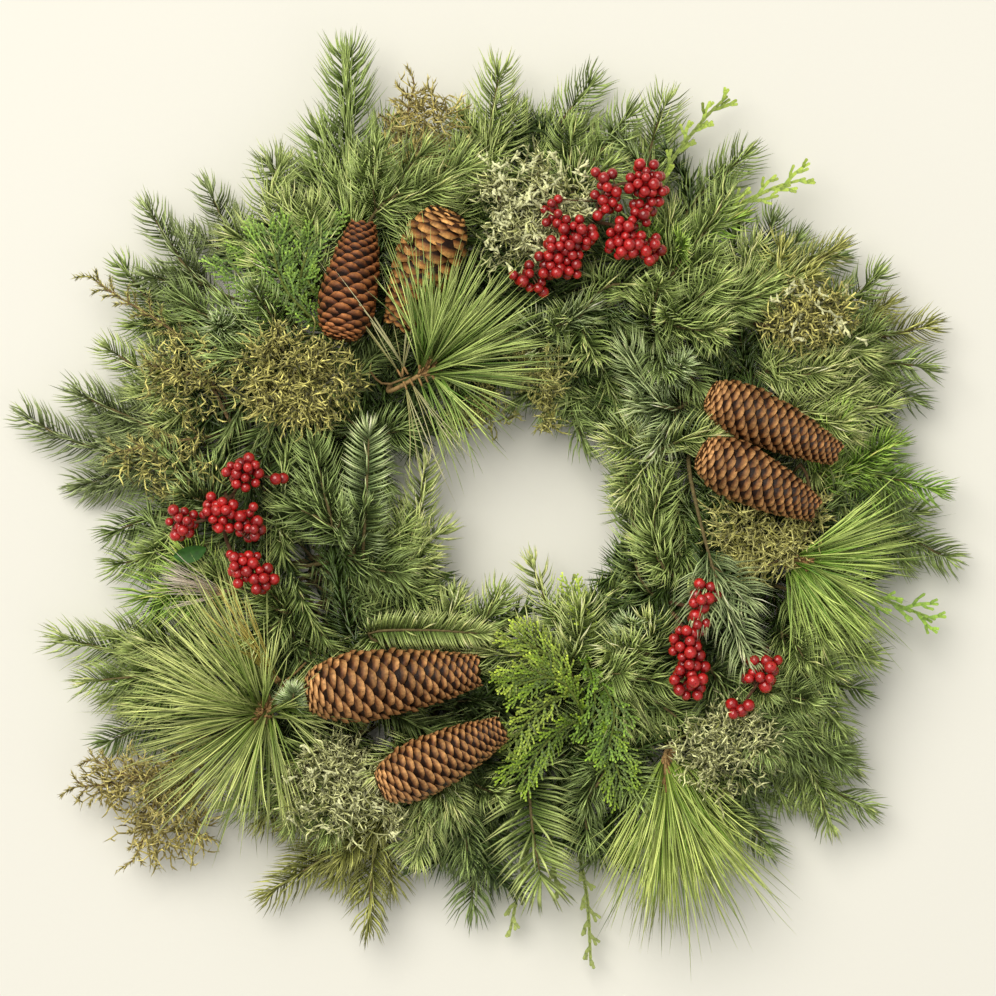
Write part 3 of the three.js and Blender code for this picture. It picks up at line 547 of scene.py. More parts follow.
    def finish_piece(self, *nodes: str, slot: str) -> bpy.types.Object:
        """Make the mesh object, and hide the CAD nodes that it replaces.

        Args:
            nodes: The CAD nodes that it replaces, if any.
            slot: The record's material slot; not used.

        Returns:
            The object, riding on the wreath's one body.
        """
        piece = bpy.data.objects.new(self.name, self._mesh())
        bpy.context.scene.collection.objects.link(piece)
        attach(piece, BODY)
        if nodes:
            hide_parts(*nodes)
        return piece


# -------------------------------------------------------------------- foliage
class Habit(Enum):
    """How needles stand round their twig."""

    FLAT = "two-ranked"
    COMB = "two-ranked, square to the twig"
    BRUSH = "brush"
    STAR = "seen from its end"


@dataclass(frozen=True)
class NeedleRule:
    """Size and stance of one shoot's needles."""

    length: float
    width: float = 1.05
    density: float = 2.0
    lean_root: float = 68.0
    lean_tip: float = 57.0
    curl: float = 0.34
    crown: float = 0.26
    blunt: float = 0.22
    spikes: bool = False


def grow_needles(weave: Weave, stem: Stem, start: float, rule: NeedleRule, habit: Habit,
                 tone: Tint, rng: Dice) -> None:
    """Clothe a stem with fir needles.

    Args:
        weave: The piece that they go in.
        stem: The twig.
        start: Where along it they begin.
        rule: Their size and stance.
        habit: How they stand round it.
        tone: Their colours.
        rng: The piece's random generator.
    """
    span = stem.length - start
    end_tuft = 4 if rule.spikes else 12
    count = max(6, int(span * rule.density))
    spaced = (np.arange(count) + rng.random(count)) / count
    u = np.concatenate([spaced, rng.uniform(0.985, 1.0, end_tuft)])
    count += end_tuft
    frame_at = stem.at(start + span * u)
    point, forward, _, above = frame_at
    if habit in (Habit.FLAT, Habit.COMB):
        lift = np.abs(rng.normal(0, 0.24, count)) + 0.05
        angle = np.where(np.arange(count) % 2 == 0, lift, np.pi - lift)
        crown = rng.random(count) < rule.crown
        angle = np.where(crown, np.pi / 2 + rng.normal(0, 0.7, count), angle)
    else:
        angle = rng.uniform(-0.55, np.pi + 0.55, count)
        crown = np.abs(angle - np.pi / 2) < 0.7
    end = np.clip((u * span - span + 5) / 5, 0, 1) * rng.random(count)
    lean = rule.lean_root + (rule.lean_tip - rule.lean_root) * u ** 1.3 + rng.normal(0, 3, count)
    lean = lean * (1 - end)
    if habit is not Habit.STAR:
        lean = np.where(crown, lean * 0.6, lean)
    along = leaning(frame_at, angle, np.radians(lean))
    size = rule.length * (1 - rule.blunt * u ** 6 - 0.15 * (1 - u) ** 3)
    size = size * rng.uniform(0.9, 1.06, count) * np.where(crown, 0.86, 1.0) * (1 - 0.15 * end)
    bend = forward - along * np.sum(forward * along, axis=-1, keepdims=True)
    bend = unit(bend + rng.normal(0, 0.16, (count, 3)))
    s = np.array([0.0, 1.0] if rule.spikes else [0.0, 0.55, 1.0])[None, :, None]
    step = s * along[:, None] + rule.curl * s ** 2 * bend[:, None]
    paths = point[:, None] + size[:, None, None] * step
    paths[..., 2] = np.maximum(paths[..., 2], NEEDLE_FLOOR)
    profile = [1.0, 0.0] if rule.spikes else [0.85, 1.0, 0.0]
    girth = rule.width / 2 * rng.uniform(0.85, 1.15, (count, 1)) * np.array([profile])
    # Painted light on the needles: roots darkened as the shade deep in the shoot; points paled,
    # more on the up-facing crown needles and at the shoot's end, partly as painted highlight and
    # partly as the paler new growth.
    tip_colour_and_highlight = np.clip(s * 0.86 + (0.2 * crown + 0.3 * u ** 4)[:, None, None], 0, 1)
    rim = np.clip((np.hypot(paths[:, 0, 0], paths[:, 0, 1]) - RIM_FROM) / RIM_WIDTH, 0, 1)
    tip_colour_and_highlight = tip_colour_and_highlight * (1 - RIM_DULLING * rim[:, None, None])
    bright = np.exp(1.5 * tone.vary * rng.normal(0, 1, (count, 1, 1))).clip(0.4, 2.2)
    # The 0.76 and 1.06 factors deepen that painted root shade and brighten the painted highlight.
    tint = (0.76 * linear(tone.root) * (1 - tip_colour_and_highlight) + 1.06 * linear(tone.point) * tip_colour_and_highlight) * bright
    weave.tubes(paths, girth, np.minimum(tint, BRIGHTEST), NEEDLE, 3, above[:, None], 0.55)


@dataclass(frozen=True)
class Shoot:
    """One fir shoot: its needles' length, its green, its habit and its way."""

    needle: float
    tone: Tone
    habit: Habit
    path: str
    density: float = 1.6
    twig: float = 52.0

    def rule(self) -> NeedleRule:
        """How this shoot's needles stand."""
        if self.habit is Habit.STAR:
            return NeedleRule(1.12 * self.needle, 1.2, 4.2, 88, 40, 0.15, blunt=0.1)
        if self.habit is Habit.COMB:
            width = 0.75 + 0.03 * self.needle
            return NeedleRule(1.12 * self.needle, width, self.density, 84, 60, 0.16, 0.05)
        return NeedleRule(self.needle * 1.26, density=self.density)


@dataclass
class Spray:
    """A cut spray, tied to the ring by its stub, or a loose one tucked in between."""

    SLOT: ClassVar[str] = ""
    GROWTH: ClassVar[str] = ""
    FINISHES: ClassVar[tuple[Finish, ...]] = ()

    node: str

    def _start(self) -> tuple[Weave, Dice]:
        """The piece's empty weave and its own random generator."""
        return Weave(f"{self.node}_{self.GROWTH}", list(self.FINISHES)), dice(self.node)

    def _finish(self, weave: Weave, path: str, wood: Colour, loose: bool) -> bpy.types.Object:
        """Add the stub of the spray's first way, unless it is loose, and make the piece."""
        if loose:
            return weave.finish_piece(slot=self.SLOT)
        ring_stub(weave, way(path)[0], wood)
        return weave.finish_piece(self.node, slot=self.SLOT)


def tie_point(near: np.ndarray) -> np.ndarray:
    """Where a loose twig that shows at a point is tied to the ring."""
    return polar(RING_MIDDLE, math.degrees(math.atan2(near[1], near[0])), TIE_HEIGHT)


def lay(path: str, loose: bool) -> Stem:
    """The stem of a way, led to the ring first if it is a loose one."""
    points = way(path)
    return Stem(np.vstack([tie_point(points[0]), points]) if loose else points)


def ring_stub(weave: Weave, start: np.ndarray, wood: Colour) -> None:
    """Add the stem's butt, which lies across both ring wires under the binding wire."""
    radius = math.hypot(start[0], start[1])
    outward = start[:2] / radius
    run = np.linspace(*(OUTSIDE_STUB if radius > OUTSIDE_FROM else INSIDE_STUB), STUB_STATIONS)
    line = np.column_stack([run[:, None] * outward[None], np.full(STUB_STATIONS, SLOT_HEIGHTS[0])])
    weave.tubes(line[None], np.full((1, STUB_STATIONS), STUB_RADIUS), linear(wood), BARK, 8, UP)


@dataclass
class FirBough(Spray):
    """A spray of fir shoots that share one stem on the ring, or loose ones tucked in between."""

    SLOT = "fir"
    GROWTH = "needles"
    FINISHES = (NEEDLE, BARK)
    TWO_PAIRS_FROM: ClassVar[float] = 75
    SHORTEST_TWIG: ClassVar[float] = 18

    shoots: tuple[Shoot, ...]
    wood: Colour = (104, 92, 58)
    loose: bool = False

    def build(self) -> bpy.types.Object:
        """Make the bough's wood and needles.

        Returns:
            The object.
        """
        weave, rng = self._start()
        for shoot in self.shoots:
            stem = lay(shoot.path, self.loose)
            root = float(stem.marks[1 if self.loose else 2])
            stem = stem.cut(0.32 * shoot.needle)
            weave.twig(stem, 0, 1.7, 0.7, self.wood)
            start = max(root - 14, root * 0.75)
            grow_needles(weave, stem, start, shoot.rule(), shoot.habit, shoot.tone.value, rng)
            if shoot.habit in (Habit.FLAT, Habit.BRUSH):
                self._side_twigs(weave, stem, start, shoot, rng)
        return self._finish(weave, self.shoots[0].path, self.wood, self.loose)

    def _side_twigs(self, weave: Weave, stem: Stem, start: float, shoot: Shoot,
                    rng: Dice) -> None:
        """Add the side twigs of a shoot, in pairs, shorter towards its end.

        Args:
            weave: The piece.
            stem: The shoot's own stem.
            start: Where along it they begin.
            shoot: The shoot.
            rng: The piece's random generator.
        """
        span = stem.length - start
        pairs = 2 if span > self.TWO_PAIRS_FROM else 1
        for k in range(pairs):
            for hand in (-1, 1):
                u = 0.04 + 0.2 * k + rng.uniform(0, 0.12)
                point, forward, side, above = stem.one(start + span * u)
                angle = math.radians(rng.uniform(28, 42))
                long = min(shoot.twig, 0.62 * span * (1 - u)) * rng.uniform(0.8, 1.1)
                if long < self.SHORTEST_TWIG:
                    continue
                aim = forward * math.cos(angle) + side * hand * math.sin(angle)
                aim = aim + above * rng.normal(-0.12, 0.08)
                bent = unit(aim * 0.8 + forward * 0.4)
                middle = point + aim * long * 0.5
                points = np.array([point, middle, middle + bent * long * 0.5])
                points[:, 2] = np.maximum(points[:, 2], SIDE_TWIG_FLOOR)
                twig = Stem(points)
                weave.twig(twig, 0, 0.8, 0.5, self.wood, sides=4)
                grow_needles(weave, twig, 2.0, shoot.rule(), shoot.habit, shoot.tone.value, rng)


@dataclass
class Undergrowth:
    """A sector of the mat of dark boughs round the ring, tips along it and outwards; the dark is
    painted shade.
    """

    SECTORS: ClassVar[int] = 12

    index: int
    bunches: int = 3
    lanes: tuple[int, ...] = (-72, -56, -38, -20, -2, 18, 40, 62, 84)
    wood: Colour = (84, 74, 46)

    def build(self) -> bpy.types.Object:
        """Make the sector's shoots, bunch by bunch."""
        name = f"undergrowth_{self.index + 1}"
        weave = Weave(name, [NEEDLE, BARK])
        rng = dice(name)
        for bunch in range(self.bunches):
            start = 360 * (self.index + bunch / self.bunches) / self.SECTORS
            for lane in self.lanes:
                self._shoot(weave, start + rng.uniform(-4, 4), lane, rng)
        return weave.finish_piece(slot="fir")

    def _shoot(self, weave: Weave, start: float, lane: float, rng: Dice) -> None:
        """Add one shoot that leaves the ring at an angle and settles in its lane.

        Args:
            weave: The piece.
            start: Where round the ring it leaves, in degrees.
            lane: How far outside the middle of the ring it settles.
            rng: The piece's random generator.
        """
        lane = lane + rng.uniform(-7, 7)
        reach = rng.uniform(70, 100) * (0.8 if abs(lane) < 70 else 0.5)
        sweep = math.degrees(reach / (RING_MIDDLE + 0.7 * lane))
        sweep *= rng.choice([-1, 1], p=[0.25, 0.75])
        low = 12 + 12 * rng.random() + 14 * max(0.0, 1 - abs(lane) / 60)
        points = [
            polar(RING_MIDDLE + 0.2 * lane, start, 9),
            polar(RING_MIDDLE + 0.55 * lane, start + 0.3 * sweep, low),
            polar(RING_MIDDLE + 0.95 * lane, start + 0.75 * sweep, low + 4 + 8 * rng.random()),
            polar(RING_MIDDLE + 1.1 * lane, start + 1.15 * sweep, low + 4 + 10 * rng.random()),
        ]
        stem = Stem(np.array(points))
        weave.twig(stem, 0, 1.4, 0.6, self.wood, sides=4)
        # Mostly the painted-shade tone, with some dark and a few mid greens.
        tone = rng.choice([Tone.PAINTED_SHADE, Tone.DARK, Tone.MID], p=[0.6, 0.3, 0.1])
        rule = NeedleRule(rng.uniform(19, 23), 2.0, 1.4, 58, 44, 0.1, spikes=True)
        grow_needles(weave, stem, 0.2 * stem.length, rule, Habit.BRUSH, tone.value, rng)


# ------------------------------------------------------------------ pine tufts
@dataclass(frozen=True)
class Fan:
    """Sheaths between two bearings, with their rise, the needles' length, and their count."""

    low: float
    high: float
    rise: float
    length: float
    sheaths: int


@dataclass
class PineTuft(Spray):
    """A tuft of long five-needled sheaths, fanned round the end of its twig."""

    SLOT = "pine"
    GROWTH = "needles"
    FINISHES = (LONG_NEEDLE, BARK)
    IN_SHEATH: ClassVar[int] = 5
    FILLING: ClassVar[float] = 0.88

    path: str
    fans: tuple[Fan, ...]
    tint: Tint = Tint((112, 132, 44), (208, 214, 122), 0.3)
    wood: Colour = (150, 122, 78)
    sheath: Colour = (150, 118, 74)
    bare: float = 16.0
    loose: bool = False

    def build(self) -> bpy.types.Object:
        """Make the tuft's twig, sheaths and needles.

        Returns:
            The object.
        """
        weave, rng = self._start()
        stem = Stem(way(self.path))
        stout = 0.5 if self.loose else 1.0
        weave.twig(stem, 0, 1.9 * stout, 1.3 * stout, self.wood, sides=8)
        for fan in self.fans:
            self._fan(weave, stem, fan, rng)
        return self._finish(weave, self.path, self.wood, self.loose)

    def _fan(self, weave: Weave, stem: Stem, fan: Fan, rng: Dice) -> None:
        """Add one fan of sheaths, each with its needles.

        Args:
            weave: The piece.
            stem: The twig.
            fan: Where the sheaths point, and how many there are.
            rng: The piece's random generator.
        """
        sheaths = round(self.FILLING * fan.sheaths)
        bearing = np.radians(rng.uniform(fan.low, fan.high, sheaths))
        climb = np.radians(np.clip(rng.normal(fan.rise, 9, sheaths), -16, 80))
        flat = np.cos(climb)
        heading = np.stack([np.cos(bearing) * flat, np.sin(bearing) * flat, np.sin(climb)], -1)
        root = stem.at(stem.length - rng.uniform(0, self.bare, sheaths))[0]
        root = root + heading * 1.5
        collar = root[:, None] + heading[:, None] * np.array([0, 2.5, 5.0, 7.0])[None, :, None]
        girth = np.broadcast_to([0.7, 0.85, 0.7, 0.0], (sheaths, 4))
        weave.tubes(collar, girth, linear(self.sheath), BARK, 5)
        root = np.repeat(root + heading * 4, self.IN_SHEATH, axis=0)
        count = sheaths * self.IN_SHEATH
        fray = 0.13 if self.loose else 0.085
        aim = unit(np.repeat(heading, self.IN_SHEATH, axis=0) + rng.normal(0, fray, (count, 3)))
        size = np.repeat(fan.length * rng.uniform(0.86, 1.1, sheaths), self.IN_SHEATH)
        size = size * rng.uniform(0.94, 1.04, count)
        sway = rng.normal(0, 0.09, (count, 3)) - UP * rng.uniform(0.02, 0.12, (count, 1))
        s = np.linspace(0, 1, 5)[None, :, None]
        paths = root[:, None] + size[:, None, None] * (s * aim[:, None] + s ** 2 * sway[:, None])
        paths[..., 2] = np.maximum(paths[..., 2], STRAND_FLOOR * (1 + rng.random((count, 1))))
        low = paths[:, :1, 2]
        tall = np.maximum(paths[..., 2].max(1, keepdims=True) - low, 1.0)
        paths[..., 2] = low + (paths[..., 2] - low) * np.minimum(1, (HIGHEST_NEEDLE - low) / tall)
        girth = (0.34 if self.loose else 0.5) * rng.uniform(0.8, 1.1, (count, 1))
        girth = girth * np.array([[0.9, 1, 0.95, 0.8, 0.0]])
        bright = (1 + self.tint.vary * rng.normal(0, 1, (count, 1, 1))).clip(0.5, 1.6)
        blend = np.clip(0.15 + 0.7 * s + 0.25 * rng.normal(0, 1, (count, 1, 1)), 0, 1)
        weave.tubes(paths, girth, self.tint.mix(blend) * bright, LONG_NEEDLE, 3)


# ---------------------------------------------------------------- cedar sprays
@dataclass(frozen=True)
class Frond:
    """One cedar shoot: its way, how far its side shoots reach, and whether it is a sleek one."""

    path: str
    reach: float
    sleek: bool = False


@dataclass
class CedarSpray(Spray):
    """Flattened fronds whose branchlets are clad in overlapping scale leaves."""

    SLOT = "cedar"
    GROWTH = "fronds"
    FINISHES = (SCALE_LEAF, BARK)

    fronds: tuple[Frond, ...]
    tint: Tint = Tint((50, 94, 16), (192, 224, 104), 0.25)
    wood: Colour = (96, 108, 44)
    loose: bool = False

    def build(self) -> bpy.types.Object:
        """Make the spray's fronds."""
        weave, rng = self._start()
        for frond in self.fronds:
            stem = lay(frond.path, self.loose)
            weave.twig(stem, 0, 1.5, 0.6, self.wood)
            start = float(stem.marks[1 if self.loose else 2]) * 0.9
            self._branch(weave, stem, start, frond, rng)
        return self._finish(weave, self.fronds[0].path, self.wood, self.loose)

    def _branch(self, weave: Weave, stem: Stem, start: float, frond: Frond, rng: Dice) -> None:
        """Clad a frond's axis and give it side shoots, which have side shoots of their own.

        Args:
            weave: The piece.
            stem: The frond's axis.
            start: Where along it the leaves begin.
            frond: The frond.
            rng: The piece's random generator.
        """
        sleek = frond.sleek
        stout, pitch, splay, little_pitch = (1.35, 8.5, 28, 6.5) if sleek else (0.86, 3.5, 38, 3.0)
        self._clad(weave, stem, start, 1.5 * stout, rng, 0.75, sleek)
        span = stem.length - start
        sides = max(4, int(span / pitch))
        for i in range(sides):
            u = (i + 0.5) / sides
            swell = 0.35 + 0.65 * math.sin(math.pi * min(1, 0.25 + 0.75 * (1 - u)))
            long = frond.reach * swell * rng.uniform(0.8, 1.15)
            if u > 0.9:
                long *= 0.6
            twig = self._side(stem, start + span * u, hand_of(i), long, splay, rng)
            self._clad(weave, twig, 0, 1.3 * stout, rng, 0.8 + 0.2 * u, sleek)
            smaller = int(long / little_pitch)
            for k in range(smaller):
                v = (k + 0.8) / (smaller + 0.8)
                short = long * 0.4 * (1.15 - v) * rng.uniform(0.8, 1.2) + 2.5
                little = self._side(twig, twig.length * v, hand_of(k), short, 34, rng)
                self._clad(weave, little, 0, 1.15 * stout, rng, 0.62 + 0.5 * v, sleek)

    @staticmethod
    def _side(stem: Stem, along: float, hand: int, long: float, splay: float, rng: Dice) -> Stem:
        """A side shoot that leaves a stem to one hand and curves forwards.

        Args:
            stem: The stem that it leaves.
            along: Where along that stem.
            hand: 1 or -1.
            long: Its length.
            splay: The angle that it leaves at, in degrees.
            rng: The piece's random generator.

        Returns:
            Its stem.
        """
        point, forward, side, above = stem.one(along)
        angle = math.radians(splay + rng.uniform(-6, 8))
        tilt = rng.normal(0.04, 0.12)
        points = [point]
        for turned, rise in ((angle, tilt), (angle * 0.55, tilt - 0.05)):
            aim = forward * math.cos(turned) + side * hand * math.sin(turned) + above * rise
            points.append(points[-1] + aim * long * 0.5)
        for bend in points[1:]:
            bend[2] = max(bend[2], FROND_FLOOR)
        return Stem(np.array(points), 1.2)

    def _clad(self, weave: Weave, stem: Stem, start: float, width: float, rng: Dice,
              light: float, sleek: bool) -> None:
        """Cover a stem in pairs of scale leaves, each lapping the next.

        Args:
            weave: The piece.
            stem: The stem.
            start: Where along it they begin.
            width: Half their width.
            rng: The piece's random generator.
            light: How light they are.
            sleek: Whether they lie close and long.
        """
        span = stem.length - start
        units = max(2, int(span / (3.0 + width if sleek else 1.1 + width)))
        waist = 0.8 if sleek else 0.55
        marks, girth = [], []
        for i in range(units):
            marks += [i / units, (i + 0.82) / units]
            taper = 1 - 0.35 * (i / units) ** 2
            girth += [waist * width * taper, width * taper]
        marks.append(1.0)
        girth.append(0.0)
        point, _, _, above = stem.at(start + span * np.array(marks))
        s = np.array(marks)[:, None]
        lips = np.array([0.0, 1.0] * units + [1.0])[:, None]
        bright = light * (1 + self.tint.vary * rng.normal())
        blend = np.clip(0.75 * s * light ** 2 + 0.3 * lips + 0.3 * sleek, 0, 1)
        tint = self.tint.mix(blend) * bright
        weave.tubes(point[None], np.array(girth)[None], tint[None], SCALE_LEAF, 4, above[None],
                    0.62, smooth=False)


# --------------------------------------------------------------- lichen clumps
class Growth(Enum):
    """What covers a lichened twig."""

    CURLY = "branching lichen that curls"
    AWL = "short juniper leaves"


@dataclass(frozen=True)
class Clump:
    """A round of growth: its centre, its half sizes, and how many strands fill it."""

    centre: Place
    half: Place
    strands: int


@dataclass
class LichenTwig(Spray):
    """A twig grown over with lichen, moss or juniper leaves."""

    SLOT = "lichen"
    GROWTH = "growth"
    FINISHES = (MOSS, BARK)

    paths: tuple[str, ...]
    growth: Growth
    tint: Tint
    clumps: tuple[Clump, ...] = ()
    strand: float = 15.0
    wood: Colour = (120, 98, 66)
    density: float = 1.8
    lobe: Colour = (226, 228, 180)
    lobed: float = 0.0

    def build(self) -> bpy.types.Object:
        """Make the twig and all that grows on it.

        Returns:
            The object.
        """
        weave, rng = self._start()
        ring_stub(weave, way(self.paths[0])[0], self.wood)
        for path in self.paths:
            stem = Stem(way(path))
            weave.twig(stem, 0, 1.5, 0.6, self.wood)
            start = float(stem.marks[2]) * 0.85
            if self.growth is Growth.AWL:
                self._sprigs(weave, stem, start, rng)
            else:
                span = stem.length - start
                count = int(span * self.density)
                point, forward, side, above = stem.at(start + span * rng.random(count))
                angle = rng.uniform(-0.4, math.pi + 0.4, count)
                aim = side * np.cos(angle)[:, None] + above * np.sin(angle)[:, None]
                self._tangle(weave, point, aim + forward * 0.6, rng)
        for clump in self.clumps:
            ball = unit(rng.normal(0, 1, (clump.strands, 3)))
            ball = ball * rng.random((clump.strands, 1)) ** 0.4
            point = np.array(clump.centre) + ball * np.array(clump.half)
            point[:, 2] = np.maximum(point[:, 2], CLUMP_FLOOR)
            self._tangle(weave, point, ball + rng.normal(0, 0.5, ball.shape) + UP * 0.3, rng)
            if self.lobed:
                self._lobes(weave, clump, rng)
        return weave.finish_piece(self.node, slot=self.SLOT)

    def _tints(self, count: int, stations: int, rng: Dice) -> np.ndarray:
        """Colours that lighten to the tips and differ from strand to strand.

        Args:
            count: How many strands.
            stations: How many stations each one has.
            rng: The piece's random generator.

        Returns:
            Linear colours, strands by stations by three.
        """
        s = np.linspace(0, 1, stations)[None, :, None]
        blend = np.clip(s + 0.3 * rng.normal(0, 1, (count, 1, 1)), 0, 1)
        bright = (1 + self.tint.vary * rng.normal(0, 1, (count, 1, 1))).clip(0.45, 1.7)
        return self.tint.mix(blend) * bright

    def _tangle(self, weave: Weave, roots: np.ndarray, aim: np.ndarray, rng: Dice) -> None:
        """Add curly strands from roots, with forks near their ends.

        Args:
            weave: The piece.
            roots: Where they start.
            aim: Which way each one sets out.
            rng: The piece's random generator.
        """
        count = len(roots)
        size = 1.25 * self.strand * rng.uniform(0.5, 1.2, count)
        paths = self._wander(roots, aim, size, 4, 0.65, rng)
        girth = 0.62 * rng.uniform(0.8, 1.25, (count, 1)) * np.array([[1, 0.95, 0.8, 0.0]])
        weave.tubes(paths, girth, self._tints(count, 4, rng), MOSS, 3)
        for station in (1, 2):
            heading = paths[:, station] - paths[:, station - 1]
            turn = unit(heading) + rng.normal(0, 0.75, (count, 3))
            short = size * rng.uniform(0.3, 0.55, count)
            forks = self._wander(paths[:, station], turn, short, 3, 0.4, rng)
            slim = 0.58 * np.broadcast_to([1, 0.9, 0.0], (count, 3))
            weave.tubes(forks, slim, self._tints(count, 3, rng) * 1.12, MOSS, 3)

    def _lobes(self, weave: Weave, clump: Clump, rng: Dice) -> None:
        """Add flat pale antlers over a clump's face.

        Args:
            weave: The piece.
            clump: The clump.
            rng: The piece's random generator.
        """
        count = max(4, int(clump.strands * self.lobed))
        flat = rng.uniform(-1, 1, (count, 2))
        spot = np.column_stack([flat, 0.5 + 0.5 * rng.random(count)])
        root = np.array(clump.centre) + spot * clump.half
        aim = np.column_stack([rng.normal(0, 1, (count, 2)), rng.normal(0.3, 0.4, count)])
        trunk = self._wander(root, aim, rng.uniform(7, 13, count), 4, 0.45, rng)
        tint = self._tints(count, 4, rng) * 0.3
        tint = tint + linear(self.lobe) * rng.uniform(0.6, 1.0, (count, 1, 1))
        girth = np.broadcast_to([0.6, 1.0, 1.25, 0.0], (count, 4))
        weave.tubes(trunk, girth, tint, MOSS, 4, UP, 0.45)
        for station in (1, 2, 2):
            heading = trunk[:, station] - trunk[:, station - 1]
            turn = unit(heading) + rng.normal(0, 0.7, (count, 3))
            fork = self._wander(trunk[:, station], turn, rng.uniform(3, 7, count), 3, 0.4, rng)
            girth = np.broadcast_to([0.8, 1.1, 0.0], (count, 3))
            weave.tubes(fork, girth, tint[:, :3], MOSS, 4, UP, 0.45)

    @staticmethod
    def _wander(roots: np.ndarray, aim: np.ndarray, size: np.ndarray, stations: int,
                stray: float, rng: Dice) -> np.ndarray:
        """Curly lines that wander from their roots.

        Args:
            roots: Where they start.
            aim: Where they head at first.
            size: Their lengths.
            stations: How many points each one gets.
            stray: How far the heading strays at each step.
            rng: The piece's random generator.

        Returns:
            Strands by stations by three.
        """
        heading = unit(aim)
        points = [roots]
        for _ in range(stations - 1):
            heading = unit(heading + rng.normal(0, stray, heading.shape))
            points.append(points[-1] + heading * (size / (stations - 1))[:, None])
        paths = np.stack(points, axis=1)
        paths[..., 2] = np.maximum(paths[..., 2], STRAND_FLOOR)
        return paths

    def _sprigs(self, weave: Weave, stem: Stem, start: float, rng: Dice) -> None:
        """Add thin side sprigs clad in short pointed leaves.

        Args:
            weave: The piece.
            stem: The twig that they grow on.
            start: Where along it they begin.
            rng: The piece's random generator.
        """
        span = stem.length - start
        stems = [(stem, start)]
        sprigs = max(4, int(span / 5))
        for i in range(sprigs):
            u = (i + rng.random()) / sprigs
            point, forward, side, above = stem.one(start + span * u)
            angle = rng.uniform(0.45, 0.95)
            aim = forward * math.cos(angle) + side * hand_of(i) * math.sin(angle)
            aim = aim + above * rng.normal(0.15, 0.35)
            long = self.strand * rng.uniform(0.7, 1.3) * (1.15 - 0.5 * u)
            end = point + unit(aim) * long
            bent = point + unit(aim + forward * 0.3) * long * 0.5
            end[2], bent[2] = max(end[2], SPRIG_FLOOR), max(bent[2], SPRIG_FLOOR)
            stems.append((Stem(np.array([point, bent, end]), 1.5), 0.0))
        for twig, begin in stems:
            if begin == 0.0:
                weave.twig(twig, 0, 0.6, 0.35, self.wood, sides=4)
            room = twig.length - begin
            count = max(6, int(room * 2.2))
            frame_at = twig.at(begin + room * rng.random(count))
            angle = rng.uniform(0, 2 * math.pi, count)
            aim = leaning(frame_at, angle, np.radians(rng.uniform(22, 50, count)))
            size = rng.uniform(3.2, 5.6, count)
            s = np.array([0, 1.0])[None, :, None]
            paths = frame_at[0][:, None] + size[:, None, None] * s * aim[:, None]
            girth = 0.5 * np.broadcast_to([1.0, 0.0], (count, 2))
            weave.tubes(paths, girth, self._tints(count, 2, rng), MOSS, 3)


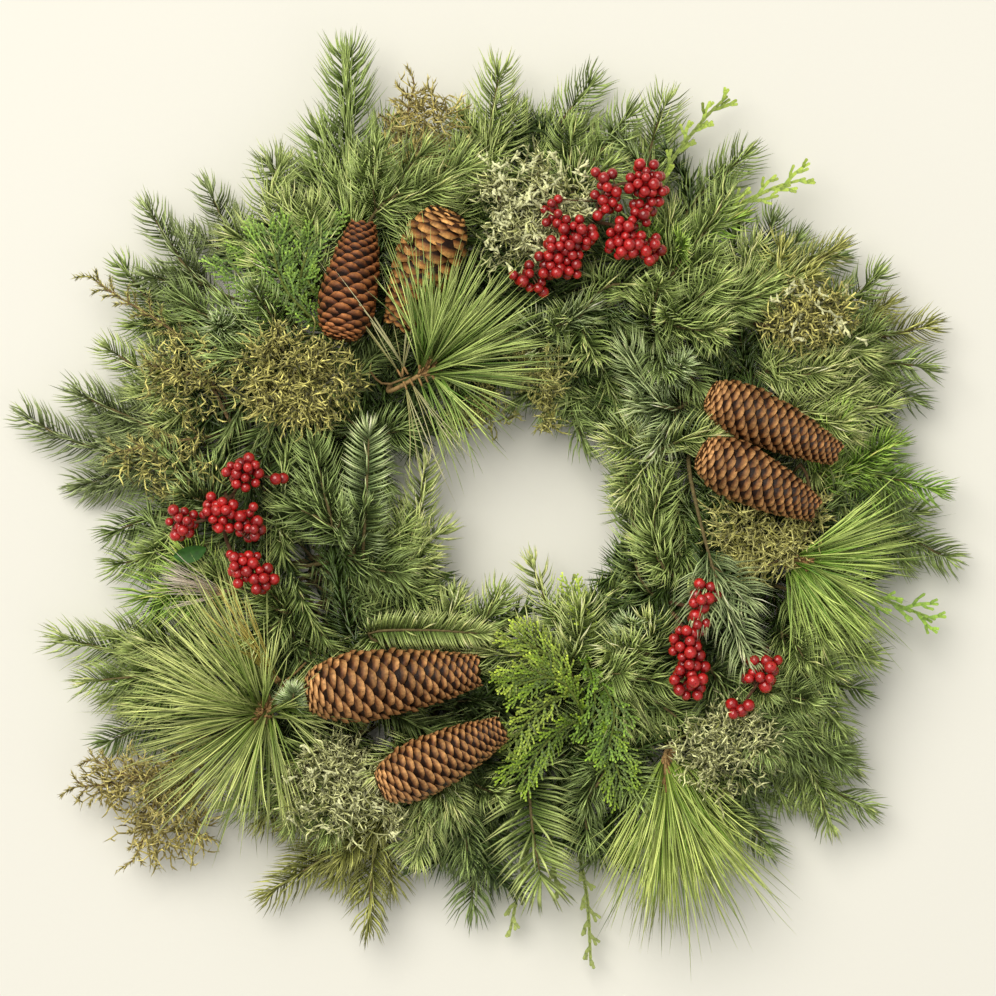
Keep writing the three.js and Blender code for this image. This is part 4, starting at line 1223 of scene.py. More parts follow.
# ----------------------------------------------------------------------- cones
@dataclass
class SpruceCone:
    """A long cone of overlapping rounded scales, set in spirals."""

    ROUND: ClassVar[int] = 12
    OVERLAP: ClassVar[float] = 1.3
    OPEN: ClassVar[float] = 17
    FOOT: ClassVar[float] = 0.12

    node: str
    base: Place
    tip: Place
    radius: float
    rank: float = 10.5
    # Painted shade: the near-black of the crevices under the lips and of the hidden scale roots.
    gap: Colour = (26, 12, 6)
    body: Colour = (104, 60, 28)
    # The lip colour is partly the lips' own paler wood and partly painted highlight.
    lip: Colour = (230, 174, 112)

    def build(self) -> bpy.types.Object:
        """Make the cone's core, the scar of its stalk, and its scales."""
        weave = Weave(f"{self.node}_scales", [WOODY])
        rng = dice(self.node)
        self._core(weave)
        self._scales(weave, rng)
        return weave.finish_piece(self.node, slot="cone")

    def axes(self) -> tuple[np.ndarray, np.ndarray, np.ndarray, np.ndarray]:
        """Its base, and the directions along it, across it and above it."""
        base = np.array(self.base)
        axis = unit(np.array(self.tip) - base)
        return base, axis, *across_and_above(axis)

    def length(self) -> float:
        """Its length from base to tip."""
        return float(np.linalg.norm(np.array(self.tip) - np.array(self.base)))

    def _core(self, weave: Weave) -> None:
        """Add the core between the scales, painted dark as the shade in the gaps, and the scar of
        the stalk.
        """
        base, axis, _, above = self.axes()
        t = np.linspace(0.0, 0.97, 14)
        core = base + axis * (self.length() * t)[:, None]
        # Painted shade: the core is darkened body colour, shown in the gaps between scales.
        shade = 0.4 * linear(self.body)
        weave.tubes(core[None], 0.7 * self.radius_at(t)[None], shade, WOODY, self.ROUND, above)
        scar = base + axis * np.array([5.0, -0.6, -1.4, -1.8])[:, None]
        girth = self.radius * np.array([[0.3, 0.3, 0.22, 0.0]])
        weave.tubes(scar[None], girth, linear(self.body), WOODY, self.ROUND, above)

    def _rows(self) -> tuple[np.ndarray, np.ndarray, np.ndarray]:
        """Where the scales sit, packed as closely as their width there asks.

        Returns:
            For each scale its share of the length, the radius there, and how the side slopes.
        """
        length = self.length()
        along = np.concatenate([[-0.02, -0.012], np.linspace(0, 0.975, 80)])
        profile = np.concatenate([[0.1, 0.36], self.radius_at(along[2:]) / self.radius])
        profile = profile * self.radius
        run = np.hypot(np.diff(along * length), np.diff(profile))
        pitch = 0.48 * 2 * math.pi * np.maximum(profile, 0.5 * self.radius) / self.rank
        climb = np.cumsum(run * self.rank * 2 / (pitch[1:] + pitch[:-1]))
        climb = np.concatenate([[0], climb])
        marks = np.arange(len(along))
        share = np.interp(np.arange(int(climb[-1])) + 0.5, climb, marks)
        tilt = np.arctan2(np.gradient(profile), np.gradient(along * length))
        t, reach, tilt = (np.interp(share, marks, row) for row in (along, profile, tilt))
        return t, reach, tilt

    def _scales(self, weave: Weave, rng: Dice) -> None:
        """Add the scales, in a spiral from the stalk to the tip.

        Args:
            weave: The piece.
            rng: The piece's random generator.
        """
        base, axis, across, above = self.axes()
        t, reach, tilt = self._rows()
        scales = len(t)
        turn = GOLDEN_TURN * np.arange(scales) + rng.normal(0, 0.03, scales)
        out = across * np.cos(turn)[:, None] + above * np.sin(turn)[:, None]
        tangent = np.cross(axis, out)
        wide = 2 * math.pi * np.maximum(reach, 0.4 * self.radius) / self.rank
        reach = reach * rng.uniform(0.97, 1.04, scales)
        slope = tilt + np.radians(self.OPEN + rng.normal(0, 2.5, scales))
        heading = axis * np.cos(slope)[:, None] + out * np.sin(slope)[:, None]
        face_up = out * np.cos(slope)[:, None] - axis * np.sin(slope)[:, None]
        room = np.maximum(t * self.length() + 1.5, 1.0) / np.maximum(np.cos(slope), 0.2)
        long = np.minimum(self.OVERLAP * wide, room)
        place = base + axis * (self.length() * t)[:, None] + out * reach[:, None]
        place = place - heading * long[:, None]
        sized = [tangent * wide[:, None], heading * long[:, None], face_up * wide[:, None]]
        corners, faces, lightness = self._scale_shape()
        # The painted light picks each point's colour, from crevice shade through body to the lit
        # lip; scales near the stalk are painted lighter, out of that shade.
        foot = np.clip((self.FOOT - t) / self.FOOT, 0, 1)
        shade = np.clip(lightness[None, :, None] + 0.3 * foot[:, None, None], 0, 1)
        tint = Tint(self.gap, self.body).mix(np.clip(shade * 2, 0, 1))
        lit = np.clip(shade * 2 - 1, 0, 1)
        tint = tint * (1 - lit) + linear(self.lip) * lit
        tint = tint * rng.uniform(0.7, 1.2, (scales, 1, 1))
        weave.stamps(corners, faces, place, np.stack(sized, axis=1), tint, WOODY)

    def radius_at(self, t: np.ndarray) -> np.ndarray:
        """Radius over the scales at a share of the cone's length."""
        widest = 0.3
        rounded = np.sqrt(np.maximum(0.02, 1 - ((widest - np.minimum(t, widest)) / 0.36) ** 2))
        taper = 1 - 0.62 * (np.maximum(t - widest, 0) / 0.7) ** 1.7
        return self.radius * rounded * taper

    @staticmethod
    def _scale_shape() -> tuple[np.ndarray, list[np.ndarray], np.ndarray]:
        """One scale: a cupped, round-ended plate a little thicker at its lip.

        Returns:
            Its points, its faces, and the painted light at each point: shade at its root and
            underside, highlight at its lip.
        """
        across, along = 5, 4
        root_to_lip = np.array([0.0, 0.69, 0.81, 1.0])
        half_width = np.array([0.5, 0.66, 0.67, 0.54])[:, None]
        swell = np.array([0.0, 0.03, 0.09, 0.03])[:, None]
        # Painted light along the scale: shade at the hidden root and in the crevice that the lip
        # above overhangs, a painted highlight at the lip.
        light = np.array([0.0, 0.02, 0.58, 1.0])[:, None]
        grid_a, grid_b = np.meshgrid(np.linspace(-1, 1, across), root_to_lip)
        x = grid_a * half_width
        y = grid_b - 0.2 * grid_a ** 2 * grid_b
        z = swell - 0.24 * grid_a ** 2
        top = np.stack([x, y, z], -1).reshape(-1, 3)
        low = np.stack([x * 0.96, y * 0.985, z - 0.09 - 0.03 * (1 - grid_b)], -1).reshape(-1, 3)
        number = np.arange(across * along).reshape(along, across)
        quad = grid_faces(number)
        under = quad[:, ::-1] + across * along
        sides = [number[0, :], number[1:, -1], number[-1, -2::-1], number[-2:0:-1, 0]]
        edge = np.concatenate(sides)
        after = np.roll(edge, -1)
        rim = np.stack([edge, edge + across * along, after + across * along, after], -1)
        # Painted highlight: the lip is lit in its middle and shaded towards its sides.
        light = light - 0.42 * grid_a ** 2 * (grid_b > 0.75)
        light = np.clip(light, 0, 1).reshape(-1)
        # The underside gets a tenth of that light, as painted shade under each lip.
        return np.concatenate([top, low]), [quad, under, rim], np.concatenate([light, light * 0.1])


# --------------------------------------------------------------------- berries
@dataclass(frozen=True)
class Cluster:
    """Berries heaped round a point of the wreath's face."""

    x: float
    y: float
    z: float
    count: int
    spread: float = 9.0


def ball_shape() -> tuple[np.ndarray, list[np.ndarray], np.ndarray]:
    """A round berry with a small dimple at its top.

    Returns:
        Its points, its faces, and each point's height from -1 to 1.
    """
    rings, around = 7, 10
    lat = np.linspace(-math.pi / 2, math.pi / 2, rings + 1)[1:-1, None]
    lon = np.linspace(0, 2 * math.pi, around, endpoint=False)
    height = np.repeat(np.sin(lat), around, 1)
    ring = np.stack([np.cos(lat) * np.cos(lon), np.cos(lat) * np.sin(lon), height], -1)
    corners = np.vstack([ring.reshape(-1, 3), [[0, 0, -1.0]], [[0, 0, 0.9]]])
    number = np.arange((rings - 1) * around).reshape(rings - 1, around)
    nxt = np.roll(number, -1, axis=1)
    quads = np.stack([number[:-1], nxt[:-1], nxt[1:], number[1:]], -1).reshape(-1, 4)
    south, north = len(corners) - 2, len(corners) - 1
    caps = np.concatenate([
        np.stack([nxt[0], number[0], np.full(around, south)], -1),
        np.stack([number[-1], nxt[-1], np.full(around, north)], -1),
    ])
    return corners, [quads, caps], corners[:, 2]


@dataclass
class BerrySpray(Spray):
    """A winterberry spray: woody branches with glossy berries on short stalks."""

    SLOT = "berry"
    GROWTH = "berries"
    FINISHES = (SKIN, BARK, GLOSSY_LEAF)
    LOWEST: ClassVar[float] = 40
    HIGHEST: ClassVar[float] = 86

    paths: tuple[str, ...]
    clusters: tuple[Cluster, ...]
    berry: float = 4.4
    wood: Colour = (88, 60, 40)
    red: Colour = (200, 30, 28)
    # Painted shade on the berries' undersides.
    underside_shade: Colour = (104, 10, 14)
    crown: Colour = (50, 22, 16)
    leaf: Colour = (46, 92, 26)
    leaves: tuple[str, ...] = ()

    def build(self) -> bpy.types.Object:
        """Make the branches, stalks, berries and any leaves.

        Returns:
            The object.
        """
        weave, rng = self._start()
        ring_stub(weave, way(self.paths[0])[0], self.wood)
        stems = [Stem(way(path)) for path in self.paths]
        for stem in stems:
            weave.twig(stem, 0, 1.8, 1.0, self.wood)
        centres = self._settle(rng)
        wood = np.concatenate([stem.points[len(stem.points) // 3:] for stem in stems])
        near = wood[np.argmin(np.linalg.norm(centres[:, None] - wood[None], axis=-1), axis=1)]
        way_up = unit(centres - near + UP * 2 + rng.normal(0, 2.0, centres.shape))
        s = np.array([0, 0.5, 0.9, 1.0])[None, :, None]
        count = len(centres)
        stalks = near[:, None] * (1 - s) + centres[:, None] * s - UP * (3 * s * (1 - s))
        weave.tubes(stalks, np.full((count, 4), 0.55), linear(self.wood), BARK, 4)
        corners, faces, height = ball_shape()
        size = self.berry * rng.uniform(0.66, 0.95, count)
        side = unit(np.cross(way_up, rng.normal(0, 1, centres.shape)))
        axes = np.stack([side, np.cross(way_up, side), way_up], 1) * size[:, None, None]
        # Painted shade: each berry is darkest underneath and reddest on its lit top.
        blend = np.clip(0.5 + 0.5 * height, 0, 1)[None, :, None]
        blend = blend * rng.uniform(0.55, 1.0, (count, 1, 1))
        weave.stamps(corners, faces, centres, axes, Tint(self.underside_shade, self.red).mix(blend), SKIN)
        crown = way_up * (size * 0.88)[:, None] + centres
        tips = [(1, 0), (0.3, 0.3), (0, 1), (-0.3, 0.3),
                (-1, 0), (-0.3, -0.3), (0, -1), (0.3, -0.3)]
        star = [(0, 0, 0.28), *((x, y, 0.1 if x and y else 0.05) for x, y in tips)]
        fan = np.array([[0, i, i % 8 + 1] for i in range(1, 9)])
        weave.stamps(np.array(star), [fan], crown, axes * 0.17, linear(self.crown), BARK,
                     smooth=False)
        for leaf in self.leaves:
            self._leaf(weave, Stem(way(leaf), 1.0))
        return weave.finish_piece(self.node, slot=self.SLOT)

    def _settle(self, rng: Dice) -> np.ndarray:
        """Berry centres, pushed apart until they only touch.

        Args:
            rng: The piece's random generator.

        Returns:
            A centre for each berry.
        """
        points = []
        for heap in self.clusters:
            ball = unit(rng.normal(0, 1, (2 * heap.count, 3)))
            ball = ball * rng.random((len(ball), 1)) ** 0.5
            reach = [heap.spread, heap.spread, 0.55 * heap.spread]
            points.append(np.array([heap.x, heap.y, heap.z]) + ball * reach)
        centres = np.concatenate(points)
        for _ in range(60):
            gap = centres[:, None] - centres[None]
            far = np.linalg.norm(gap, axis=-1) + np.eye(len(centres)) * 99
            push = np.clip(2 * self.berry * 0.74 - far, 0, None)
            centres = centres + 0.3 * np.sum(gap / far[..., None] * push[..., None], axis=1)
            centres[:, 2] = np.clip(centres[:, 2], self.LOWEST, self.HIGHEST)
        return centres

    def _leaf(self, weave: Weave, stem: Stem) -> None:
        """Add one glossy leaf, creased along its middle."""
        count = 14
        point, _, side, above = stem.at(np.linspace(0, stem.length, count))
        u = np.linspace(0, 1, count)
        half = 0.24 * stem.length * np.sin(np.pi * np.clip(u * 0.96 + 0.02, 0, 1)) ** 0.8
        rows = []
        for share, lift in ((-1, 2.0), (-0.5, 0.7), (0, 0), (0.5, 0.7), (1, 2.0)):
            rise = lift * half / 6 + 0.6 * np.sin(9 * u) * abs(share)
            rows.append(point + side * (half * share)[:, None] + above * rise[:, None])
        top = np.stack(rows, 1).reshape(-1, 3)
        low = top - np.repeat(above, len(rows), axis=0) * 0.5
        quad = grid_faces(np.arange(len(top)).reshape(count, len(rows)))
        faces = [quad, quad[:, ::-1] + len(top)]
        weave.add(np.concatenate([top, low]), faces, linear(self.leaf), GLOSSY_LEAF)


# ------------------------------------------------------------------- the wires
@dataclass
class WireWork:
    """The double ring with its braces, and the binding wire."""

    enamel: Colour = (40, 58, 38)
    wire: float = 2.0
    height: float = 4.4
    braces: int = 6
    first_brace: float = 9.0
    brace_ends: tuple[float, float] = (138.2, 166.8)
    brace_width: float = 6.0
    brace_height: float = 3.4
    brace_edge: float = 0.8
    turns: int = 20
    binding: float = 0.6
    binding_radii: tuple[float, float, float] = (169.7, 152.5, 135.3)
    binding_heights: tuple[float, float] = (1.4, 11.3)
    binding_corner: float = 0.9

    def build(self) -> None:
        """Make the ring, then the binding wire."""
        self._ring()
        self._binding()

    def _loop(self, weave: Weave, points: np.ndarray, radius: float, sides: int) -> None:
        """Add a closed round wire through points.

        Args:
            weave: The piece.
            points: Its centre line.
            radius: The wire's radius.
            sides: Sides of its section.
        """
        count = len(points)
        forward = unit(np.roll(points, -1, 0) - np.roll(points, 1, 0))
        side = unit(np.cross(forward, UP))
        top = np.cross(side, forward)
        angle = 2 * np.pi * np.arange(sides)[:, None] / sides
        section = side[:, None] * np.cos(angle) + top[:, None] * np.sin(angle)
        rings = points[:, None] + radius * section
        number = np.arange(count * sides).reshape(count, sides)
        nxt, up = np.roll(number, -1, 1), np.roll(number, -1, 0)
        quads = np.stack([number, nxt, np.roll(up, -1, 1), up], -1).reshape(-1, 4)
        weave.add(rings.reshape(-1, 3), [quads], linear(self.enamel), WIRE)

    def _ring(self) -> None:
        """The two ring wires and the flat braces welded across their back."""
        weave = Weave("wire_frame_enamelled", [WIRE])
        for radius in RING_RADII:
            around = np.linspace(0, 360, 120, endpoint=False)
            points = np.array([polar(radius, angle, self.height) for angle in around])
            self._loop(weave, points, self.wire, 10)
        wide, high, edge = self.brace_width, self.brace_height, self.brace_edge
        half = wide / 2
        bar = [(-half, edge), (-half, high - edge), (edge - half, high), (half - edge, high),
               (half, high - edge), (half, edge), (half - edge, 0), (edge - half, 0)]
        for i in range(self.braces):
            out = polar(1, self.first_brace + 360 / self.braces * i, 0)
            across = np.cross(UP, out)
            ends = [[*(out * r + across * y)[:2], z] for r in self.brace_ends for y, z in bar]
            number = np.arange(len(bar))
            after = (number + 1) % len(bar)
            walls = np.stack([number, after, after + len(bar), number + len(bar)], -1)
            caps = np.array([[0, 1, 2, 3], [0, 3, 4, 7], [4, 5, 6, 7]])
            faces = [walls, caps[:, ::-1], caps + len(bar)]
            weave.add(np.array(ends), faces, linear(self.enamel), WIRE, smooth=False)
        weave.finish_piece("wire_frame", slot="green_wire")

    def _binding(self) -> None:
        """The thin wire wound round the ring, over every stem."""
        weave = Weave("binding_wire_wound", [WIRE])
        outer, middle, inner = self.binding_radii
        under, over = self.binding_heights
        quarter = 90 / self.turns
        points = []
        for i in range(self.turns):
            start = 360 / self.turns * i
            ahead, crossed = start + 2 * quarter, start + 4 * quarter
            points += [polar(outer, start, under), polar(outer, start, over),
                       polar(middle, ahead, over), polar(inner, crossed, over),
                       polar(inner, crossed, under)]
        line = np.array(points)
        soft = []
        for i, point in enumerate(line):
            for beside in (line[i - 1], line[(i + 1) % len(line)]):
                soft.append(point + unit(beside - point) * self.binding_corner)
        self._loop(weave, np.array(soft), self.binding, 8)
        weave.finish_piece("binding_wire", slot="green_wire")


@dataclass
class ConeWire:
    """A florist's wire that loops two cones and is bound to the ring."""

    OUTWARDS: ClassVar[tuple[float, float]] = (136, 179)
    INWARDS: ClassVar[tuple[float, float]] = (169, 126)
    UNDER_STEMS: ClassVar[float] = 7.6
    SUNK: ClassVar[float] = 0.8

    node: str
    slot: float
    side: int
    cones: tuple[SpruceCone, ...]
    held: float
    wire: float = 0.8
    enamel: Colour = (52, 50, 34)

    def build(self) -> bpy.types.Object:
        """Make both loops and their legs."""
        weave = Weave(f"{self.node}_twisted", [WIRE])
        end, leave = self.OUTWARDS if self.side > 0 else self.INWARDS
        angle = np.linspace(-math.pi / 2, 1.5 * math.pi, 40)[:, None]
        for cone in self.cones:
            base, _, across, above = cone.axes()
            centre = base + (np.array(cone.tip) - base) * self.held
            radius = self.SUNK * float(cone.radius_at(np.array([self.held]))[0])
            loop = centre + radius * (across * np.cos(angle) + above * np.sin(angle))
            legs = np.array([
                polar(end, self.slot, self.UNDER_STEMS),
                polar(leave, self.slot, self.UNDER_STEMS),
                polar(leave + 3 * self.side, self.slot, 15),
                loop[0],
            ])
            line = np.vstack([centripetal(legs, 8)[:-1], loop, loop[-1:] - above * 3])
            girth = np.full((1, len(line)), self.wire)
            weave.tubes(line[None], girth, linear(self.enamel), WIRE, 6, np.array([0.3, 0.2, 1]))
        return weave.finish_piece(self.node, slot="green_wire")


# ------------------------------------------------------------------ the layout
F, B, S, C = Habit.FLAT, Habit.BRUSH, Habit.STAR, Habit.COMB

BOUGHS = (
    FirBough("fir_bough_1", (
        Shoot(17, Tone.MID, F, "165,63 176,66 195,46,24 246,48,28"),
        Shoot(17, Tone.DARK, F, "164,63 176,67 195,78,15 240,78,18 266,67,20"),
        Shoot(18, Tone.MID, F, "162,62 175,69 200,94,26 273,90,30"))),
    FirBough("fir_bough_2", (
        Shoot(17, Tone.OLIVE, F, "148,96 159,101 205,104,17 250,112,20 276,119,22"),
        Shoot(17, Tone.MID, F, "147,96 158,102 205,122,24 240,153,30"),
        Shoot(17, Tone.OLIVE, B, "146,95 157,104 178,145,50 213,169,54"))),
    FirBough("fir_bough_3", (
        Shoot(17, Tone.DARK, F, "125,125 134,132 175,152,16 217,165,20"),
        Shoot(17, Tone.DARK, F, "124,124 133,133 160,162,22 170,190,28"),
        Shoot(22, Tone.MID, F, "123,123 132,134 118,120,46 172,150,54"))),
    FirBough("fir_bough_4", (
        Shoot(20, Tone.MID, F, "96,148 104,157 112,190,16 155,233,20"),
        Shoot(20, Tone.LIGHT, F, "96,147 102,158 88,215,22 90,238,24 101,269,26"),
        Shoot(18, Tone.BRIGHT, F, "95,146 101,159 98,165,38 150,189,44"))),
    FirBough("fir_bough_5", (
        Shoot(20, Tone.MID, F, "28,175 31,185 38,205,28 78,260,32"),
        Shoot(20, Tone.MID, F, "28,173 29,186 8,200,16 30,250,18 54,281,20"),
        Shoot(20, Tone.LIGHT, F, "27,172 28,186 -15,205,30 -10,288,38"))),
    FirBough("fir_bough_6", (
        Shoot(25, Tone.MID, B, "-96,148 -101,159 -106,170,27 -108,235,34 -110,298,40", 3.0),
        Shoot(20, Tone.SAGE, F, "-96,147 -102,158 -133,195,14 -165,228,20"),
        Shoot(22, Tone.MID, F, "-95,146 -104,157 -85,196,52 -60,206,57 -22,222,62"))),
    FirBough("fir_bough_7", (
        Shoot(16, Tone.SAGE, F, "-138,111 -145,120 -180,165,14 -203,212,18"),
        Shoot(17, Tone.SAGE, F, "-136,110 -146,118 -208,148,24 -228,175,26 -241,197,28"))),
    FirBough("fir_bough_8", (
        Shoot(17, Tone.MID, F, "-158,80 -167,87 -205,112,15 -236,130,18 -259,160,20"),
        Shoot(17, Tone.LIGHT, F, "-156,80 -168,85 -205,72,26 -230,80,28 -269,104,30"),
        Shoot(17, Tone.FROST, S, "-155,79 -168,84 -185,108,34 -195,120,62"))),
    FirBough("fir_bough_9", (
        Shoot(20, Tone.SAGE, F, "-175,28 -185,31 -205,40,20 -235,50,23 -291,75,26"),
        Shoot(18, Tone.SAGE, F, "-173,28 -186,29 -225,26,14 -270,36,15 -298,45,17 -324,61,18"))),
    FirBough("fir_bough_10", (
        Shoot(18, Tone.DARK, F, "-177,-9 -188,-8 -215,-4,14 -238,-8,16 -268,-20,18"),
        Shoot(18, Tone.MID, F, "-175,-9 -188,-10 -205,-28,26 -225,-32,27 -265,-40,28"),
        Shoot(18, Tone.DARK, F, "-174,-9 -187,-18 -200,4,34 -231,36,38"))),
    FirBough("fir_bough_11", (
        Shoot(20, Tone.LIGHT, F, "-165,-63 -176,-66 -205,-92,14 -240,-99,17 -303,-86,20"),
        Shoot(26, Tone.BRIGHT, F, "-164,-63 -176,-67 -203,-53,32 -248,-62,38"))),
    FirBough("fir_bough_12", (
        Shoot(18, Tone.LIGHT, F, "-148,-96 -159,-101 -205,-106,26 -238,-111,28 -284,-116,30"),
        Shoot(18, Tone.DARK, F, "-147,-96 -158,-102 -205,-128,14 -238,-142,16 -271,-158,18"),
        Shoot(13, Tone.FROST, S, "-146,-95 -157,-104 -145,-128,62 -141,-117,91"))),
    FirBough("fir_bough_13", (
        Shoot(18, Tone.OLIVE, F, "-63,-165 -69,-175 -150,-190,16 -169,-210,20"),
        Shoot(18, Tone.OLIVE, F, "-63,-164 -67,-176 -94,-195,18 -108,-217,20 -164,-257,22"))),
    FirBough("fir_bough_14", (
        Shoot(18, Tone.OLIVE, F, "-46,-171 -50,-181 -80,-190,24 -91,-222,26 -96,-279,28"),
        Shoot(18, Tone.MID, F, "-45,-170 -49,-182 -30,-175,32 -45,-190,34 -75,-226,36"))),
    FirBough("fir_bough_15", (
        Shoot(22, Tone.DARK, F, "-9,-177 -12,-188 -16,-190,15 -20,-205,18 -30,-268,20"),
        Shoot(33, Tone.LIGHT, C, "-9,-175 -10,-188 6,-175,40 12,-215,45 19,-254,44", 1.15))),
    FirBough("fir_bough_16", (
        Shoot(18, Tone.DARK, F, "96,-148 101,-159 118,-165,15 140,-190,18 168,-227,20"),
        Shoot(18, Tone.MID, F, "96,-147 102,-158 110,-172,30 150,-214,34"))),
    FirBough("fir_bough_17", (
        Shoot(18, Tone.MID, F, "138,-111 145,-120 160,-150,20 180,-163,21 205,-185,23 234,-200,24"),
        Shoot(16, Tone.LIGHT, F, "136,-110 146,-118 190,-165,26 207,-213,28"),
        Shoot(20, Tone.DARK, F, "135,-110 147,-117 160,-128,38 218,-172,42"))),
    FirBough("fir_bough_18", (
        Shoot(16, Tone.DARK, F, "165,-63 175,-69 185,-108,24 230,-122,26"),
        Shoot(16, Tone.MID, F, "164,-63 176,-67 190,-84,16 233,-96,20"),
        Shoot(20, Tone.MID, F, "162,-62 176,-66 175,-90,44 215,-150,48"))),
    FirBough("fir_bough_19", (
        Shoot(18, Tone.MID, F, "177,-9 188,-12 215,-10,17 248,-18,19 270,-28,20 288,-37,22"),
        Shoot(17, Tone.BRIGHT, F, "175,-9 188,-10 200,18,30 225,22,31 255,15,33 279,8,34"))),
    FirBough("fir_bough_20", (
        Shoot(18, Tone.DARK, B, "46,120 44,109 34,76,24 48,34,32", 1.6, 22),
        Shoot(18, Tone.BLUE, F, "46,121 42,109 20,108,42 52,131,48", 1.6, 24),
        Shoot(16, Tone.FROST, S, "47,122 40,110 92,80,40 112,94,72"))),
    FirBough("fir_bough_21", (
        Shoot(20, Tone.DARK, F, "-124,-33 -114,-29 -118,-14,46 -132,44,60"),)),
    FirBough("fir_bough_22", (
        Shoot(17, Tone.LIGHT, B, "-114,-58 -105,-52 -72,-40,28 -58,30,42", 2.2, 22),
        Shoot(17, Tone.MID, B, "-115,-59 -104,-53 -70,-58,24 -66,-18,30", 1.8, 20),
        Shoot(19, Tone.BLUE, C, "-117,-60 -104,-55 -98,-20,48 -94,54,62", 1.6))),
    FirBough("fir_bough_23", (
        Shoot(15, Tone.LIGHT, C, "-20,-126 -34,-112,30 -96,-84,50 -60,-81,57 -14,-84,56", 2.1),
        Shoot(18, Tone.MID, F, "-20,-128 -18,-116 -38,-84,28 -2,-62,32", 1.6, 20))),
    FirBough("fir_bough_24", (
        Shoot(16, Tone.LIGHT, B, "58,-114 52,-105 30,-84,26 10,-34,34", 1.6, 20),
        Shoot(18, Tone.MID, F, "59,-115 53,-104 44,-76,26 72,-50,32", 1.6, 24),
        Shoot(17, Tone.FROST, S, "60,-117 55,-104 72,-88,32 76,-74,58"))),
    FirBough("fir_bough_25", (
        Shoot(20, Tone.MID, F, "126,20 116,17 104,-8,28 66,2,32", 1.6, 24),
        Shoot(18, Tone.MID, F, "128,20 116,18 104,-34,40 78,-22,44", 1.6, 24),
        Shoot(22, Tone.BLUE, F, "129,20 113,32,42 128,-42,70 152,-104,72", 1.6, 30))),
)

TUFTS = (
    PineTuft("pine_tuft_1", "-138,-111 -147,-117 -150,-118,46 -166,-140,56",
             (Fan(95, 236, 4, 96, 52), Fan(236, 290, 3, 80, 16), Fan(-60, 95, 22, 54, 14),
              Fan(140, 260, 28, 84, 22)),
             tint=Tint((106, 132, 50), (220, 228, 142), 0.34)),
    PineTuft("pine_tuft_2", "-90,90 -82,84 -80,74,56 -50,91,66",
             (Fan(-5, 115, 12, 82, 56), Fan(-70, -5, 2, 68, 14), Fan(10, 100, 40, 66, 14)),
             tint=Tint((88, 122, 40), (202, 218, 128), 0.38)),
    PineTuft("pine_tuft_3", "111,-138 117,-147 98,-160,46 99,-186,54",
             (Fan(244, 318, 0, 97, 64), Fan(236, 322, 18, 80, 28)), bare=38.0,
             tint=Tint((118, 152, 50), (224, 236, 136), 0.3)),
    PineTuft("pine_tuft_4", "175,-28 185,-31 172,-34,48 188,-36,56",
             (Fan(-86, 38, 4, 76, 56), Fan(-70, 30, 28, 62, 18)),
             tint=Tint((104, 144, 48), (208, 226, 126), 0.32)),
)

DRY_NEEDLES = (
    PineTuft("dry_needles_1", "-152,-40,12 -176,-54,44 -188,-60,50",
             (Fan(140, 192, 8, 44, 13),),
             tint=Tint((170, 150, 130), (232, 222, 206), 0.2), sheath=(150, 120, 96),
             bare=8.0, loose=True),
    PineTuft("dry_needles_2", "-124,-90,12 -146,-112,52 -154,-117,58",
             (Fan(118, 136, 10, 70, 7),),
             tint=Tint((150, 138, 56), (214, 196, 104), 0.15), bare=6.0, loose=True),
    PineTuft("dry_needles_3", "-104,104,12 -84,78,58 -66,84,66",
             (Fan(80, 132, 14, 84, 3), Fan(270, 330, 4, 64, 2)),
             tint=Tint((168, 164, 104), (232, 228, 178), 0.15), wood=(120, 96, 60),
             bare=8.0, loose=True),
)

